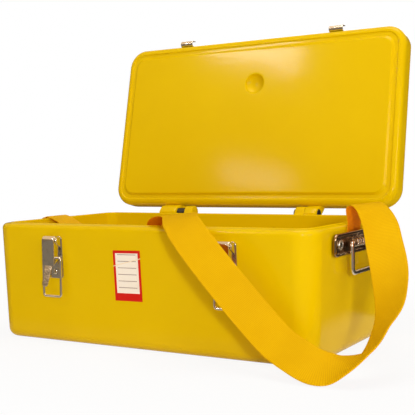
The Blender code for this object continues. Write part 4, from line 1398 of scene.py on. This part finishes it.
# %% Floor
FLOOR_HALF = 6
WHITE = (1.0, 1.0, 1.0, 1.0)
floor_mesh = bpy.data.meshes.new("floor")
floor_corners = [(-FLOOR_HALF, -FLOOR_HALF, 0), (FLOOR_HALF, -FLOOR_HALF, 0),
                 (FLOOR_HALF, FLOOR_HALF, 0), (-FLOOR_HALF, FLOOR_HALF, 0)]
floor_mesh.from_pydata(floor_corners, [], [(0, 1, 2, 3)])
floor = bpy.data.objects.new("floor", floor_mesh)
bpy.context.scene.collection.objects.link(floor)
floor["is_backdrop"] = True


def ray_kinds(tree):
    """A mask for what the camera sees directly, and one for what mirrors and clear things show."""
    path = add(tree, "ShaderNodeLightPath").outputs
    return path["Is Camera Ray"], reckon(tree, "MAXIMUM", path["Is Glossy Ray"], path["Is Transmission Ray"])


def floor_finish():
    """White paper for the light. To the camera it is plain white with a faint shadow near the box, and to
    mirrors it is a white sheet around the box on a dim floor."""
    made = bpy.data.materials.new("white_sweep")
    made.use_nodes = True
    tree = made.node_tree
    tree.nodes.clear()
    seen, mirrored = ray_kinds(tree)
    spot = add(tree, "ShaderNodeSeparateXYZ", {"Vector": object_place(tree)}).outputs
    out_x = reckon(tree, "SUBTRACT", reckon(tree, "ABSOLUTE", spot["X"]), LENGTH / 2)
    out_y = reckon(tree, "SUBTRACT", reckon(tree, "ABSOLUTE", spot["Y"]), WIDTH / 2)
    away = reckon(tree, "MAXIMUM", out_x, out_y)
    paper = add(tree, "ShaderNodeBsdfDiffuse", {"Color": (0.86, 0.86, 0.86, 1.0)}).outputs[0]
    white = add(tree, "ShaderNodeEmission", {"Color": WHITE, "Strength": 1.0}).outputs[0]
    beyond = spread(tree, spot["Y"], 0.26, 0.05, -0.3, 0.2)
    near = spread(tree, away, 0.8, 0.0, 0.07, 0.12)
    sheet = add(tree, "ShaderNodeEmission", {"Color": (1.0, 0.86, 0.66, 1.0),
                                             "Strength": reckon(tree, "MAXIMUM", near, beyond)}).outputs[0]
    shadow = spread(tree, away, 0.11, 0.0, 0.05, 0.6)
    shown = add(tree, "ShaderNodeMixShader", {0: shadow, 1: white, 2: paper})
    first = add(tree, "ShaderNodeMixShader", {0: mirrored, 1: paper, 2: sheet})
    out = add(tree, "ShaderNodeMixShader", {0: seen, 1: first.outputs[0], 2: shown.outputs[0]})
    tree.links.new(out.outputs[0], add(tree, "ShaderNodeOutputMaterial").inputs["Surface"])
    return made


floor.data.materials.append(floor_finish())
print("floor: %d m wide" % (2 * FLOOR_HALF))

# %% World
BACKDROP = unit([-0.51, 0.86, 0.0])
ROOM_LIGHT = 0.31
WARM = (1.0, 0.72, 0.44, 1.0)
world = bpy.data.worlds.new("studio")
bpy.context.scene.world = world
world.use_nodes = True
tree = world.node_tree
tree.nodes.clear()
look = add(tree, "ShaderNodeTexCoord").outputs["Generated"]
facing = add(tree, "ShaderNodeVectorMath", {0: look, 1: tuple(BACKDROP)},
             operation="DOT_PRODUCT").outputs["Value"]
way = add(tree, "ShaderNodeSeparateXYZ", {"Vector": look}).outputs
above = spread(tree, way["Z"], 0.0, 1.0, 0.22, 0.42)
room = reckon(tree, "MAXIMUM", above, spread(tree, way["Y"], 0.26, 0.05, -0.2, 0.3))
behind = spread(tree, facing, 0.0, 0.08, 0.82, 0.96)
seen, mirrored = ray_kinds(tree)
level = add(tree, "ShaderNodeMix", {0: mirrored, 2: ROOM_LIGHT, 3: reckon(tree, "MAXIMUM", room, behind)})
level = add(tree, "ShaderNodeMix", {0: seen, 2: level.outputs[0], 3: 1.0})
tint = mix_colour(tree, seen, WARM, WHITE)
sky = add(tree, "ShaderNodeBackground", {"Color": tint, "Strength": level.outputs[0]})
tree.links.new(sky.outputs[0], add(tree, "ShaderNodeOutputWorld").inputs["Surface"])
print("world: room light of %.2f" % ROOM_LIGHT)

# %% Lamps


def lamp(name, place, aim, size, watts):
    """A soft rectangular lamp at a place, turned towards a point."""
    data = bpy.data.lights.new(name, "AREA")
    data.shape = "RECTANGLE"
    data.size, data.size_y = size
    data.energy = watts
    made = bpy.data.objects.new(name, data)
    made.location = place
    made.rotation_euler = (Vector(aim) - Vector(place)).to_track_quat("-Z", "Y").to_euler()
    bpy.context.scene.collection.objects.link(made)


BOX_MIDDLE = (0.0, 0.0, 0.2)
lamp("key", (1.86, -2.24, 0.72), BOX_MIDDLE, (0.3, 0.3), 36.0)
lamp("top", (0.2, -0.2, 2.4), BOX_MIDDLE, (1.6, 1.2), 23.5)
lamp("side", (2.5, -1.0, 0.8), BOX_MIDDLE, (1.0, 1.0), 13.0)
lamp("rear", (-0.9, 2.7, 1.3), BOX_MIDDLE, (1.6, 1.6), 20.0)
lamp("lid_glow_upper", (-1.38, -1.97, 1.95), (0.0, 0.23, 0.46), (0.5, 0.16), 7.5)
lamp("lid_glow_lower", (-1.37, -2.25, 1.33), (0.03, 0.18, 0.26), (0.36, 0.12), 1.5)

# %% [markdown]
# ## Finish
#
# The picture uses the Standard view so that colours come out as written.

# %% Finish
bpy.context.scene.view_settings.view_transform = "Standard"
low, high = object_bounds()
